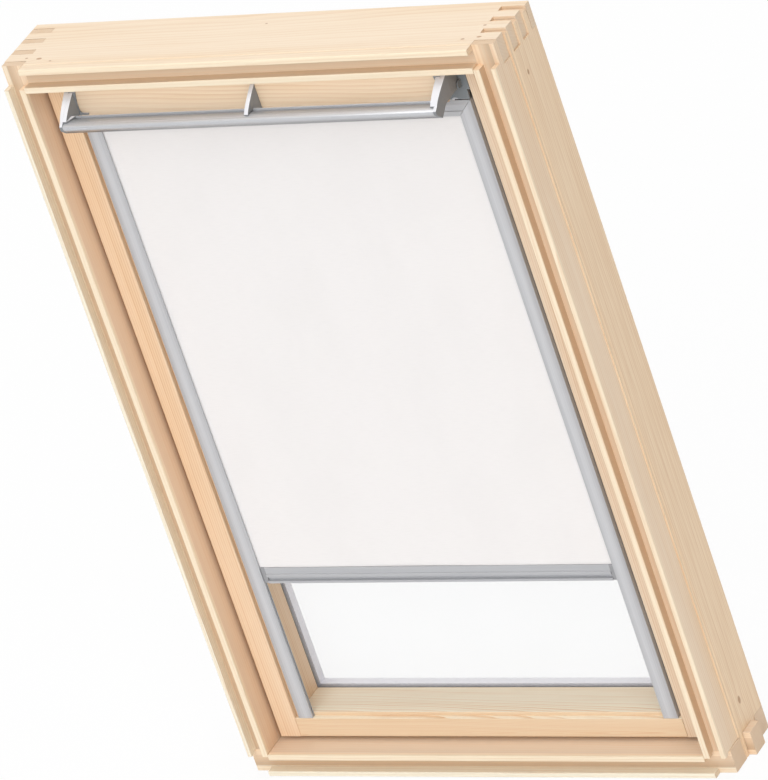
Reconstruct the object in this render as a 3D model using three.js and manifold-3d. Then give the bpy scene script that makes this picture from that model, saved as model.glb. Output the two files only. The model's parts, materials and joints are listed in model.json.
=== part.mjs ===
// Centre-pivot roof window in varnished pine with its room-darkening roller blind.
// Millimetres, +Z up, -Y towards the room, origin at the middle of the frame's underside.
import * as THREE from 'three';
import { mergeVertices } from 'three/addons/utils/BufferGeometryUtils.js';
import Module from 'manifold-3d';

const wasm = await Module();
wasm.setup();

// Clearances shared by all pieces
const seatGap = 0.3;
const overrun = 5;
const curveSteps = 4;
const roundSides = 24;

// Outer frame: four pine members with a grooved room-side edge
const frameWidth = 780;
const frameHeight = 1178;
const frameDepth = 111;
const jambWall = 35.5;
const railWall = 37;
const innerLipWidth = 9;
const outerLipWidth = 8.5;
const lipReach = 15;
const lipNose = 2.6;
const edgeRound = 1.2;
const quirkWidth = 2.4;
const quirkDepth = 1.2;
const sideStepBack = 31;
const sideStepDepth = 1.5;
const sideHollowStart = 34;
const sideHollowWidth = 6;
const sideHollowDepth = 1;

// Comb joints: stretches of the depth that belong to the jamb, the rest is the rail's
const topJambFingers = [[0, 10], [30.5, 40.5], [60.5, 70.5], [88, 98]];
const bottomJambFingers = [[33, 42.5], [73.5, 83]];
const proudRailFinger = [42.5, 73.5];
const proudFingerReach = 11.5;
const fingerFarGap = 1.3;
const shortFingerDrop = 4.5;
const shortRailFingerDrop = 2.5;
const topBlockHeight = 31;
const bottomBlockHeight = 34;
const bottomBlockWidth = 27;

// Sash: four pine members, glazing rebate outside, small step round the opening inside
const sashGap = 6;
const sashSetback = 24;
const sashDepth = 88;
const stileFace = 34;
const railFace = 31;
const stepWidthStile = 5.5;
const stepWidthRail = 6;
const stepDepth = 8;
const revealEnd = 69;
const glazingRebate = 12;
const sashArris = 1.5;

// Pivot hinges at half height
const pivotBack = 38;
const hingePlateThick = 2;
const hingePlateWidth = 30;
const hingePlateHeight = 130;
const pinRadius = 5;
const pinRunning = 0.25;
const pinInStile = 18;

// Glazing unit, gaskets and outside covers
const paneThick = 4;
const spacerThick = 14;
const spacerWidth = 10;
const gasketThick = 2;
const gasketWidth = 9;
const outerGasketWidth = 6;
const paneEdgeGap = 2;
const coverThick = 1.5;
const coverOverGlass = 8;
const coverEdgeInset = 1;

// Ventilation flap, its pivot close to its lower back edge, and the pull bar on three arms
const flapThick = 26;
const flapTopRise = 2;
const flapBottomRise = 5;
const flapPivotInset = 4;
const flapFrontRound = 7;
const flapTopRound = 2;
const flapEndGap = 13;
const capThick = 5;
const flapPinRadius = 2;
const flapPinLength = 4;
const sealHeight = 8;
const sealEndGap = 2;
const sealThick = 7.4;
const barLipBack = 42.2;
const barLipRise = 0.9;
const barLipWidth = 1.6;
const barLipHeight = 1.9;
const barNoseBack = 65.3;
const barNoseDrop = 3.1;
const barFrontDrop = 9.1;
const barReturnBack = 55;
const barReturnDrop = 19;
const barWall = 2;
const armRoot = [22, 27.5];
const armNear = [36, 19.5];
const armFar = [55, 8.5];
const armNose = [63.5, 0.3];
const armWideTop = 15;
const armWideNose = 10;
const middleArmWidth = 6.4;
const plateWidth = 36;
const plateThick = 1.4;
const plateStepHeight = 15;
const plateStepWidth = 4.5;
const plateTopGap = 2;
const notchHalf = 6.1;
const notchHeight = 3.2;
const notchFromEnd = 27.4;
const earThick = 2;
const earRadius = 5.5;
const earFootThick = 6;

// Latch between the pull bar and the top of the frame
const latchCaseWidth = 60;
const latchCaseDepth = 16;
const latchCaseHeight = 25;
const latchCaseWall = 2;
const latchWidth = 18;
const latchDepth = 8;
const latchHeight = 20;
const latchShow = 3;
const strikerThick = 1.6;
const strikerLength = 70;
const strikerWidth = 20;
const strikerMouthLength = 30;
const strikerMouthWidth = 12;

// Air slots and filter behind the flap
const ventCount = 5;
const ventHeight = 8;
const ventBridge = 22;
const ventInset = 6;
const ventRise = 17;
const filterInset = 39;
const filterHeight = 15;
const filterThick = 5;

// Blind: side channels, cassette, roller, cloth and bottom bar
const channelWidth = 23.1;
const channelFront = 0.5;
const channelDepth = 7.2;
const channelWall = 1.4;
const channelMouth = 2.6;
const channelCrown = 0.5;
const channelFlangeDepth = 20;
const coverHeight = 25;
const coverTopDrop = 18;
const cassetteWall = 1.6;
const cassetteBack = 45;
const cassetteTopGap = 1;
const cassetteStepBack = 8.3;
const cassetteEndThick = 4;
const cassetteEndGap = 5;
const coverBandShares = [0.3, 0.42, 0.72];
const coverBandDepth = 0.9;
const coverShoulderShare = 0.75;
const coverShoulderSteps = 8;
const rollerBack = 26.5;
const rollerDrop = 22;
const tubeRadius = 10;
const tubeWall = 1.2;
const tubeEndGap = 2;
const rollTurns = 6;
const rollPitch = 0.8;
const rollCloth = 0.4;
const plugLength = 12;
const rollerPinRadius = 3;
const springCoreRadius = 4.4;
const springCoreLength = 150;
const springWire = 1.2;
const springCoils = 20;
const springSteps = 8;
const springPitch = 6;
const springSides = 5;
const clothThick = 0.6;
const clothBack = 5.2;
const clothEdgeGap = 2;
const clothBendDrop = 19;
const barShow = 26;
const blindDrop = 750.5;
const sliderClearance = 0.5;
const blindBarFront = 2.2;
const blindBarDepth = 7.4;
const blindBarBandShares = [0.4, 0.6, 0.83];
const blindBarStep = 1.2;
const blindBarGroove = 4.2;
const blindBarSlot = 1.4;
const blindBarSlotShare = 0.3;
const sliderWidth = 6;
const tongueReach = 17;
const tongueThick = 1.8;
const tongueHeight = 20;
const footHeight = 6;

// Finishes
const pine = new THREE.MeshStandardMaterial({ color: 0xf3d8b2, roughness: 0.55, metalness: 0 });
const aluminium = new THREE.MeshStandardMaterial({ color: 0xc2c2c4, roughness: 0.38, metalness: 0.85 });
const castGrey = new THREE.MeshStandardMaterial({ color: 0x9c9a9b, roughness: 0.5, metalness: 0.2 });
const steel = new THREE.MeshStandardMaterial({ color: 0xa9abae, roughness: 0.35, metalness: 0.9 });
const greyPlastic = new THREE.MeshStandardMaterial({ color: 0xa2a2a5, roughness: 0.6, metalness: 0 });
const rubber = new THREE.MeshStandardMaterial({ color: 0x3a3634, roughness: 0.8, metalness: 0 });
const cloth = new THREE.MeshStandardMaterial({ color: 0xf4f1ee, roughness: 0.9, metalness: 0 });
const foam = new THREE.MeshStandardMaterial({ color: 0x6f6f6c, roughness: 0.95, metalness: 0 });
const glass = new THREE.MeshStandardMaterial({
  color: 0xf4f6fa,
  roughness: 0.05,
  metalness: 0,
  transparent: true,
  opacity: 0.35,
});

// Solids: geometry in, closed solid out, and back again
function solid(geometry) {
  const bare = geometry.clone();
  bare.deleteAttribute('normal');
  bare.deleteAttribute('uv');
  const merged = mergeVertices(bare);
  return new wasm.Manifold(new wasm.Mesh({
    numProp: 3,
    vertProperties: new Float32Array(merged.attributes.position.array),
    triVerts: new Uint32Array(merged.index.array),
  }));
}

function geometryOf(body) {
  const cut = body.getMesh();
  const geometry = new THREE.BufferGeometry();
  geometry.setAttribute('position', new THREE.BufferAttribute(new Float32Array(cut.vertProperties), 3));
  geometry.setIndex(new THREE.BufferAttribute(new Uint32Array(cut.triVerts), 1));
  geometry.computeVertexNormals();
  return geometry;
}

function cut(body, ...tools) {
  return tools.flat().reduce((rest, tool) => rest.subtract(tool), body);
}

function join(...bodies) {
  return bodies.flat().reduce((whole, body) => whole.add(body));
}

// A block from its lowest to its highest corner
function block([x0, x1], [y0, y1], [z0, z1]) {
  const geometry = new THREE.BoxGeometry(x1 - x0, y1 - y0, z1 - z0);
  geometry.translate((x0 + x1) / 2, (y0 + y1) / 2, (z0 + z1) / 2);
  return solid(geometry);
}

// An outline from corners [u, v, radius]
function outline(corners) {
  const shape = new THREE.Shape();
  const count = corners.length;
  const toward = (from, to, reach) => {
    const run = Math.hypot(to[0] - from[0], to[1] - from[1]);
    return [from[0] + (to[0] - from[0]) * reach / run, from[1] + (to[1] - from[1]) * reach / run];
  };
  corners.forEach((corner, index) => {
    const radius = corner[2] ?? 0;
    const before = corners[(index + count - 1) % count];
    const after = corners[(index + 1) % count];
    const enter = radius ? toward(corner, before, radius) : corner;
    const leave = radius ? toward(corner, after, radius) : corner;
    if (index === 0) shape.moveTo(enter[0], enter[1]);
    else shape.lineTo(enter[0], enter[1]);
    if (radius) shape.quadraticCurveTo(corner[0], corner[1], leave[0], leave[1]);
  });
  shape.closePath();
  return shape;
}

function extrude(shape, length, steps = curveSteps) {
  return new THREE.ExtrudeGeometry(shape, { depth: length, bevelEnabled: false, curveSegments: steps });
}

// Outline in (y, z), drawn out along X
function alongX(shape, [x0, x1], steps) {
  const turn = new THREE.Matrix4().makeBasis(
    new THREE.Vector3(0, 1, 0),
    new THREE.Vector3(0, 0, 1),
    new THREE.Vector3(1, 0, 0),
  );
  return solid(extrude(shape, x1 - x0, steps).applyMatrix4(turn).translate(x0, 0, 0));
}

// Outline in (x, y), drawn out along Z
function alongZ(shape, [z0, z1], steps) {
  return solid(extrude(shape, z1 - z0, steps).translate(0, 0, z0));
}

// Outline in (z, x), drawn out along Y
function alongY(shape, [y0, y1], steps) {
  const turn = new THREE.Matrix4().makeBasis(
    new THREE.Vector3(0, 0, 1),
    new THREE.Vector3(1, 0, 0),
    new THREE.Vector3(0, 1, 0),
  );
  return solid(extrude(shape, y1 - y0, steps).applyMatrix4(turn).translate(0, y0, 0));
}

function rod(radius, [x0, x1], y, z, sides = roundSides) {
  const geometry = new THREE.CylinderGeometry(radius, radius, x1 - x0, sides);
  geometry.rotateZ(Math.PI / 2);
  geometry.translate((x0 + x1) / 2, y, z);
  return solid(geometry);
}

function rectangle([u0, u1], [v0, v1], radius = 0) {
  return outline([[u0, v0, radius], [u1, v0, radius], [u1, v1, radius], [u0, v1, radius]]);
}

// A flat ring round an opening, outer and inner half sizes, drawn out along Y
function ring(halfX, halfZ, width, [y0, y1]) {
  const outer = block([-halfX, halfX], [y0, y1], [-halfZ, halfZ]);
  const innerX = halfX - width;
  const innerZ = halfZ - width;
  return outer.subtract(block([-innerX, innerX], [y0 - overrun, y1 + overrun], [-innerZ, innerZ]));
}

function piece(name, body, material, group) {
  const mesh = new THREE.Mesh(geometryOf(body), material);
  mesh.name = name;
  group.add(mesh);
  return mesh;
}

const everySide = [['left', -1], ['right', 1]];

// The stretch from a to b on one side, lowest first
function ordered(side, a, b) {
  return [side * a, side * b].sort((first, second) => first - second);
}

// Groups: the frame carries the sash, the sash carries the flap and the blind
const roofWindow = new THREE.Group();
const frame = new THREE.Group();
const sash = new THREE.Group();
const flap = new THREE.Group();
const blind = new THREE.Group();
roofWindow.add(frame);
frame.add(sash);
sash.add(flap);
sash.add(blind);

// Frame members

const frameFront = -frameDepth / 2;
const frameBack = frameDepth / 2;
const frameHalf = frameWidth / 2;
const openingHalf = frameHalf - jambWall;
const openingBottom = railWall;
const openingTop = frameHeight - railWall;

// Section of a member: u outwards from the opening, v back from the face of the corner blocks
function memberSection(wall, isJamb) {
  const edge = isJamb ? wall - sideStepDepth : wall;
  const front = [
    [0, frameDepth],
    [0, -lipReach, edgeRound],
    [innerLipWidth, -lipReach, edgeRound],
    [innerLipWidth, 0],
    [wall - outerLipWidth, 0],
    [wall - outerLipWidth, -lipReach, edgeRound],
    [edge, -lipReach, lipNose],
  ];
  const jambSide = [
    [edge, sideStepBack],
    [wall, sideStepBack],
    [wall, sideHollowStart],
    [wall - sideHollowDepth, sideHollowStart + sideHollowWidth / 2],
    [wall, sideHollowStart + sideHollowWidth],
  ];
  const railSide = [
    [wall, 0],
    [wall - quirkDepth, quirkWidth / 2],
    [wall, quirkWidth],
  ];
  return [...front, ...(isJamb ? jambSide : railSide), [wall, frameDepth]];
}

// Room for one finger of the other member, wider behind it than before it
function fingerRoom([v0, v1]) {
  const closed = v0 === 0 ? overrun : seatGap;
  return [frameFront + v0 - closed, frameFront + v1 + fingerFarGap];
}

// The stretches between the jamb's fingers, which are the rail's fingers
function railFingers(jambFingers) {
  const starts = [0, ...jambFingers.map((finger) => finger[1])];
  const ends = [...jambFingers.map((finger) => finger[0]), frameDepth];
  return starts.map((start, index) => [start, ends[index]]).filter(([v0, v1]) => v1 > v0);
}

function railRoom([v0, v1]) {
  const before = v0 === 0 ? overrun : 0;
  const after = v1 === frameDepth ? overrun : 0;
  return [frameFront + v0 - before, frameFront + v1 + after];
}

const lipCut = [frameFront - lipReach - overrun, frameFront];

function jamb(side) {
  const corners = memberSection(jambWall, true)
    .map(([u, v, radius]) => [side * (openingHalf + u), frameFront + v, radius]);
  const across = side > 0
    ? [openingHalf - overrun, frameHalf + overrun]
    : [-frameHalf - overrun, -openingHalf + overrun];
  const topZone = [openingTop - seatGap, frameHeight + overrun];
  const bottomZone = [-overrun, openingBottom + seatGap];
  const topRooms = railFingers(topJambFingers).map((finger) => block(across, railRoom(finger), topZone));
  const bottomRooms = railFingers(bottomJambFingers)
    .map((finger) => block(across, railRoom(finger), bottomZone));
  const lipEnds = [
    block(across, lipCut, [frameHeight - topBlockHeight, frameHeight + overrun]),
    block(across, lipCut, [-overrun, bottomBlockHeight]),
  ];
  const shortened = side > 0
    ? topJambFingers.slice(1).map(([v0, v1]) => block(
      across,
      [frameFront + v0 - overrun, frameFront + v1 + overrun],
      [frameHeight - shortFingerDrop, frameHeight + overrun],
    ))
    : [];
  const bore = rod(
    pinRadius + pinRunning,
    [openingHalf * side - overrun, openingHalf * side + overrun],
    frameFront + sashSetback + pivotBack,
    frameHeight / 2,
  );
  return cut(alongZ(outline(corners), [0, frameHeight]), topRooms, bottomRooms, lipEnds, shortened, bore);
}

function rail(level) {
  const middle = frameHeight / 2;
  const halfOpening = middle - railWall;
  const jambFingers = level > 0 ? topJambFingers : bottomJambFingers;
  const reach = frameHalf + proudFingerReach;
  const corners = memberSection(railWall, false)
    .map(([u, v, radius]) => [frameFront + v, middle + level * (halfOpening + u), radius]);
  const wholeHeight = level > 0
    ? [openingTop - overrun, frameHeight + overrun]
    : [-overrun, openingBottom + overrun];
  const outerLipStart = middle + level * (halfOpening + innerLipWidth);
  const outerLipHeight = level > 0 ? [outerLipStart, frameHeight + overrun] : [-overrun, outerLipStart];
  const innerLipHeight = level > 0
    ? [openingTop - overrun, outerLipStart]
    : [outerLipStart, openingBottom + overrun];
  const outerLipEnd = level > 0 ? openingHalf - seatGap : frameHalf - bottomBlockWidth;
  const ends = everySide.flatMap(([, side]) => {
    const beyond = (from) => (side > 0 ? [from, reach + overrun] : [-reach - overrun, -from]);
    const rooms = jambFingers.map((finger) => block(beyond(openingHalf - seatGap), fingerRoom(finger), wholeHeight));
    const trims = [
      block(beyond(frameHalf), [frameFront - overrun, frameFront + proudRailFinger[0]], wholeHeight),
      block(beyond(frameHalf), [frameFront + proudRailFinger[1], frameBack + overrun], wholeHeight),
      block(beyond(outerLipEnd), lipCut, outerLipHeight),
      block(beyond(openingHalf - seatGap), lipCut, innerLipHeight),
    ];
    if (level > 0) trims.push(block(beyond(frameHalf), [frameFront - overrun, frameBack + overrun], wholeHeight));
    if (level > 0 && side > 0) {
      trims.push(block(
        beyond(frameHalf - shortRailFingerDrop),
        [frameFront + topJambFingers[0][1], frameFront + topJambFingers[3][0]],
        wholeHeight,
      ));
    }
    return [...rooms, ...trims];
  });
  return cut(alongX(outline(corners), [-reach, reach]), ends);
}

piece('frame_top_rail', rail(1), pine, frame);
piece('frame_bottom_rail', rail(-1), pine, frame);
everySide.forEach(([word, side]) => piece(`frame_${word}_jamb`, jamb(side), pine, frame));

// Pivot hinges: a plate with a pin on the jamb, a plate with an eye on the sash

const pivotY = frameFront + sashSetback + pivotBack;
const pivotZ = frameHeight / 2;
const sashHalf = openingHalf - sashGap;
const sashHalfHeight = frameHeight / 2 - railWall - sashGap;

function hingePlate(side, nearFace, [y, z], bore) {
  const face = ordered(side, nearFace, nearFace + hingePlateThick);
  const plate = alongX(
    rectangle(
      [y - hingePlateWidth / 2, y + hingePlateWidth / 2],
      [z - hingePlateHeight / 2, z + hingePlateHeight / 2],
      hingePlateWidth / 3,
    ),
    face,
  );
  return bore ? plate.subtract(rod(bore, [face[0] - overrun, face[1] + overrun], y, z)) : plate;
}

everySide.forEach(([word, side]) => {
  const jambPlateFace = openingHalf - seatGap - hingePlateThick;
  const pinSpan = ordered(side, sashHalf - pinInStile, jambPlateFace + hingePlateThick / 2);
  const plate = hingePlate(side, jambPlateFace, [pivotY, pivotZ]);
  piece(`frame_hinge_${word}`, plate.add(rod(pinRadius, pinSpan, pivotY, pivotZ)), steel, frame);
});

// Keeper plate for the latch, under the top rail

const strikerTop = openingTop - seatGap;
const strikerPlate = block(
  [-strikerLength / 2, strikerLength / 2],
  [pivotY - strikerWidth / 2, pivotY + strikerWidth / 2],
  [strikerTop - strikerThick, strikerTop],
);
const strikerMouth = block(
  [-strikerMouthLength / 2, strikerMouthLength / 2],
  [pivotY - strikerMouthWidth / 2, pivotY + strikerMouthWidth / 2],
  [strikerTop - strikerThick - overrun, strikerTop + overrun],
);
piece('striker_plate', strikerPlate.subtract(strikerMouth), steel, frame);

// Sash: its own origin is the middle of its room-side face

sash.position.set(0, frameFront + sashSetback, frameHeight / 2);

const glassHalfX = sashHalf - stileFace - stepWidthStile;
const glassHalfZ = sashHalfHeight - railFace - stepWidthRail;
const stileWidth = stileFace + stepWidthStile;
const railWidth = railFace + stepWidthRail;
const channelOuter = glassHalfX - seatGap * 2;
const channelInner = channelOuter - channelWidth;
const coverTop = glassHalfZ - coverTopDrop;
const coverBottom = coverTop - coverHeight;

// Section of a sash member: u inwards from its outer edge, v back from its face
function sashSection(face, width, grow, arris) {
  const out = grow ? -overrun : 0;
  return [
    [out, out, arris],
    [face + grow, out, arris],
    [face + grow, stepDepth - grow],
    [width + grow, stepDepth - grow, arris],
    [width + grow, revealEnd + grow],
    [width - glazingRebate + grow, revealEnd + grow],
    [width - glazingRebate + grow, sashDepth - out],
    [out, sashDepth - out],
  ];
}

function stile(side, grow) {
  const corners = sashSection(stileFace, stileWidth, grow, grow ? 0 : sashArris)
    .map(([u, v, radius]) => [side * (sashHalf - u), v, radius]);
  const reach = sashHalfHeight + (grow ? overrun : 0);
  return alongZ(outline(corners), [-reach, reach]);
}

const stileRooms = everySide.map(([, side]) => stile(side, seatGap));

everySide.forEach(([word, side]) => {
  const hole = rod(
    pinRadius + pinRunning,
    ordered(side, sashHalf - pinInStile - overrun, sashHalf + overrun),
    pivotBack,
    0,
  );
  piece(`sash_${word}_stile`, stile(side, 0).subtract(hole), pine, sash);
});

const bottomRailSection = outline(sashSection(railFace, railWidth, 0, sashArris)
  .map(([u, v, radius]) => [v, u - sashHalfHeight, radius]));
piece('sash_bottom_rail', cut(alongX(bottomRailSection, [-sashHalf, sashHalf]), stileRooms), pine, sash);

// The top rail stands back behind the flap; air slots and the latch mortise run through it
const topRailSection = outline([
  [stepDepth, sashHalfHeight, sashArris],
  [stepDepth, glassHalfZ, sashArris],
  [revealEnd, glassHalfZ],
  [revealEnd, glassHalfZ + glazingRebate],
  [sashDepth, glassHalfZ + glazingRebate],
  [sashDepth, sashHalfHeight],
]);
const ventFloor = glassHalfZ + ventRise;
const filterLength = (glassHalfX - filterInset) * 2;
const ventPitch = (filterLength - ventInset * 2 + ventBridge) / ventCount;
const ventLength = ventPitch - ventBridge;
const vents = Array.from({ length: ventCount }, (_, index) => {
  const centre = (index - (ventCount - 1) / 2) * ventPitch;
  const slot = rectangle(
    [ventFloor, ventFloor + ventHeight],
    [centre - ventLength / 2, centre + ventLength / 2],
    ventHeight / 3,
  );
  return alongY(slot, [-overrun, sashDepth + overrun]);
});
const filterMiddle = ventFloor + ventHeight / 2;
const filterRecess = block(
  [-filterLength / 2 - seatGap, filterLength / 2 + seatGap],
  [-overrun, stepDepth + filterThick + seatGap],
  [filterMiddle - filterHeight / 2 - seatGap, filterMiddle + filterHeight / 2 + seatGap],
);
const mortise = block(
  [-latchCaseWidth / 2 - seatGap, latchCaseWidth / 2 + seatGap],
  [pivotBack - latchCaseDepth / 2 - seatGap, pivotBack + latchCaseDepth / 2 + seatGap],
  [sashHalfHeight - latchCaseHeight - seatGap, sashHalfHeight + overrun],
);
piece(
  'sash_top_rail',
  cut(alongX(topRailSection, [-sashHalf, sashHalf]), stileRooms, vents, filterRecess, mortise),
  pine,
  sash,
);
piece(
  'air_filter',
  block(
    [-filterLength / 2, filterLength / 2],
    [stepDepth + seatGap, stepDepth + filterThick],
    [filterMiddle - filterHeight / 2, filterMiddle + filterHeight / 2],
  ),
  foam,
  sash,
);

everySide.forEach(([word, side]) => {
  const eye = hingePlate(side, sashHalf + seatGap, [pivotBack, 0], pinRadius + pinRunning);
  piece(`sash_hinge_${word}`, eye, steel, sash);
});

// Latch case in its mortise, and the bolt that the pull bar draws down

const caseY = [pivotBack - latchCaseDepth / 2, pivotBack + latchCaseDepth / 2];
const caseZ = [sashHalfHeight - latchCaseHeight, sashHalfHeight - seatGap];
const boltY = [pivotBack - latchDepth / 2, pivotBack + latchDepth / 2];
const boltZ = [sashHalfHeight + latchShow - latchHeight, sashHalfHeight + latchShow];
const latchCase = block([-latchCaseWidth / 2, latchCaseWidth / 2], caseY, caseZ);
const boltRoom = block(
  [-latchWidth / 2 - seatGap, latchWidth / 2 + seatGap],
  [boltY[0] - seatGap, boltY[1] + seatGap],
  [caseZ[0] + latchCaseWall, caseZ[1] + overrun],
);
piece('latch_case', latchCase.subtract(boltRoom), steel, sash);
const boltCorners = outline([
  [boltY[0], boltZ[0]],
  [boltY[1], boltZ[0]],
  [boltY[1], boltZ[1], latchShow / 2],
  [boltY[0], boltZ[1], latchShow],
]);
const boltGroup = new THREE.Group();
sash.add(boltGroup);
const boltTravel = latchCaseHeight + latchShow - latchHeight - latchCaseWall;
console.log(`latch bolt may drop ${boltTravel.toFixed(1)} mm`);
piece('latch_bolt', alongX(boltCorners, [-latchWidth / 2, latchWidth / 2]), steel, boltGroup);

// Glazing unit in its rebate: gasket, pane, spacer, pane, gasket and covers

const unitHalfX = glassHalfX + glazingRebate - paneEdgeGap;
const unitHalfZ = glassHalfZ + glazingRebate - paneEdgeGap;
const innerGasketY = [revealEnd + seatGap, revealEnd + seatGap + gasketThick];
const innerPaneY = [innerGasketY[1] + seatGap, innerGasketY[1] + seatGap + paneThick];
const spacerY = [innerPaneY[1] + seatGap, innerPaneY[1] + seatGap + spacerThick];
const outerPaneY = [spacerY[1] + seatGap, spacerY[1] + seatGap + paneThick];
const outerGasketY = [outerPaneY[1] + seatGap, outerPaneY[1] + seatGap + gasketThick];
const coverY = outerGasketY[1] + seatGap;

piece('inner_glazing_gasket', ring(unitHalfX, unitHalfZ, gasketWidth, innerGasketY), rubber, sash);
piece('inner_pane', block([-unitHalfX, unitHalfX], innerPaneY, [-unitHalfZ, unitHalfZ]), glass, sash);
piece(
  'pane_spacer',
  ring(unitHalfX - paneEdgeGap, unitHalfZ - paneEdgeGap, spacerWidth, spacerY),
  aluminium,
  sash,
);
piece('outer_pane', block([-unitHalfX, unitHalfX], outerPaneY, [-unitHalfZ, unitHalfZ]), glass, sash);
piece('outer_glazing_gasket', ring(unitHalfX, unitHalfZ, outerGasketWidth, outerGasketY), rubber, sash);

// Outside covers: bent strips over the wood and the edge of the glass, mitred at the corners
function glazingCover(length, halfOpening, halfOuter) {
  const lipEnd = halfOpening + glazingRebate - coverOverGlass;
  const wood = halfOpening + glazingRebate + seatGap;
  const edge = halfOuter - coverEdgeInset;
  const back = sashDepth + seatGap;
  const bent = outline([
    [lipEnd, coverY],
    [lipEnd, coverY + coverThick],
    [wood + coverThick, coverY + coverThick, coverThick / 2],
    [wood + coverThick, back + coverThick],
    [edge, back + coverThick],
    [edge, back],
    [wood, back],
    [wood, coverY],
  ]);
  const mitre = outline([[0, -overrun], [length, length - overrun], [length, length + overrun], [0, length + overrun]]);
  return { bent, mitre, edge };
}

// Removes what lies past the 45 degree mitre through the corner (cornerX, cornerZ)
function mitreTool(cornerX, cornerZ, keepsRail, gap) {
  const far = frameHeight;
  const shift = keepsRail ? gap / 2 : -gap / 2;
  const corner = [cornerZ + shift, cornerX - shift];
  const inward = [corner[0] - far, corner[1] - far];
  const outward = [corner[0] + far, corner[1] + far];
  const third = keepsRail ? [inward[0], outward[1]] : [outward[0], inward[1]];
  return alongY(outline([inward, outward, third]), [-overrun * 2, sashDepth * 2]);
}

function coverPiece(isRail, side) {
  const halfOpening = isRail ? glassHalfZ : glassHalfX;
  const halfOuter = isRail ? sashHalfHeight : sashHalf;
  const { bent } = glazingCover(sashHalfHeight, halfOpening, halfOuter);
  const cornerX = sashHalf;
  const cornerZ = sashHalfHeight;
  const reach = isRail ? sashHalf - coverEdgeInset : sashHalfHeight - coverEdgeInset;
  const points = bent.getPoints(curveSteps);
  const drawn = isRail
    ? alongX(new THREE.Shape(points.map((point) => new THREE.Vector2(point.y, side * point.x))), [-reach, reach])
    : alongZ(new THREE.Shape(points.map((point) => new THREE.Vector2(side * point.x, point.y))), [-reach, reach]);
  const tools = everySide.flatMap(([, across]) => {
    const scale = isRail ? [across, 1, side] : [side, 1, across];
    return mitreTool(cornerX, cornerZ, isRail, seatGap).scale(scale);
  });
  return cut(drawn, tools);
}

piece('cover_top', coverPiece(true, 1), aluminium, sash);
piece('cover_bottom', coverPiece(true, -1), aluminium, sash);
everySide.forEach(([word, side]) => piece(`cover_${word}`, coverPiece(false, side), aluminium, sash));

// Flap: its own origin is its pivot, close to its lower back edge

const flapHalf = glassHalfX + stepWidthStile - flapEndGap;
const capInner = flapHalf - capThick;
const flapWoodHalf = capInner - seatGap;
const flapBack = flapPivotInset;
const flapFace = flapBack - flapThick;
const flapFoot = -flapPivotInset;
flap.position.set(0, -flapPivotInset, glassHalfZ + flapBottomRise + flapPivotInset);
const flapHead = sashHalfHeight + flapTopRise - flap.position.z;

function flapShape(face, round) {
  const shape = new THREE.Shape();
  shape.moveTo(flapBack, 0);
  shape.lineTo(flapBack, flapHead - flapTopRound);
  shape.quadraticCurveTo(flapBack, flapHead, flapBack - flapTopRound, flapHead);
  shape.lineTo(face + flapTopRound, flapHead);
  shape.quadraticCurveTo(face, flapHead, face, flapHead - flapTopRound);
  shape.lineTo(face, flapFoot + round);
  shape.quadraticCurveTo(face, flapFoot, face + round, flapFoot);
  shape.lineTo(0, flapFoot);
  shape.absarc(0, 0, flapPivotInset, -Math.PI / 2, 0, false);
  shape.closePath();
  return shape;
}
piece('ventilation_flap', alongX(flapShape(flapFace, flapFrontRound), [-flapWoodHalf, flapWoodHalf]), pine, flap);

// A strip on the flap's back seals the top of the air path
const plateOuter = glassHalfX + stepWidthStile - seatGap * 2;
const sealHalf = plateOuter - plateWidth - sealEndGap;
piece(
  'flap_seal',
  alongX(
    rectangle([flapBack + seatGap, flapBack + sealThick], [flapHead - sealHeight, flapHead], flapTopRound),
    [-sealHalf, sealHalf],
  ),
  rubber,
  flap,
);

// Pull bar: a bent section with a rear lip, a sloping top, a nose and an undercut return
const barSlope = [barNoseBack - barLipBack, barNoseDrop + barLipRise];
const barSection = outline([
  [-barLipBack, barLipRise],
  [-barLipBack - barLipWidth, barLipRise],
  [-barLipBack - barLipWidth, barLipRise - barLipHeight, barLipWidth / 2],
  [-barNoseBack, -barNoseDrop, barWall],
  [-barNoseBack, -barFrontDrop, barWall / 2],
  [-barReturnBack, -barReturnDrop],
  [-barReturnBack + barWall, -barReturnDrop],
  [-barReturnBack + barWall, -barReturnDrop + barWall],
  [-barNoseBack + barWall, -barFrontDrop + barWall / 2],
  [-barNoseBack + barWall, -barNoseDrop - barWall],
  [-barLipBack, barLipRise - barLipHeight - barWall],
]);
piece('control_bar', alongX(barSection, [-flapWoodHalf, flapWoodHalf]), aluminium, flap);

// The arm's outline from the flap's face to the bar's nose, as a strip above the bar
const onBar = -barNoseDrop + (barNoseBack - armNose[0]) * barSlope[1] / barSlope[0] + seatGap * 2;
const aboveLip = barLipRise - barLipHeight + seatGap * 2;

function armCurve(shape) {
  shape.bezierCurveTo(-armNear[0], armNear[1], -armFar[0], armFar[1], -armNose[0], armNose[1]);
}

function armShape() {
  const shape = new THREE.Shape();
  shape.moveTo(flapFace - seatGap, armRoot[1]);
  armCurve(shape);
  shape.lineTo(-armNose[0], onBar);
  shape.lineTo(-barLipBack - barLipWidth - seatGap, aboveLip);
  shape.lineTo(-barLipBack - barLipWidth - seatGap, barLipRise + seatGap);
  shape.lineTo(-barLipBack, barLipRise + seatGap);
  shape.lineTo(flapFace - seatGap, flapFoot);
  shape.closePath();
  return shape;
}

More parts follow.
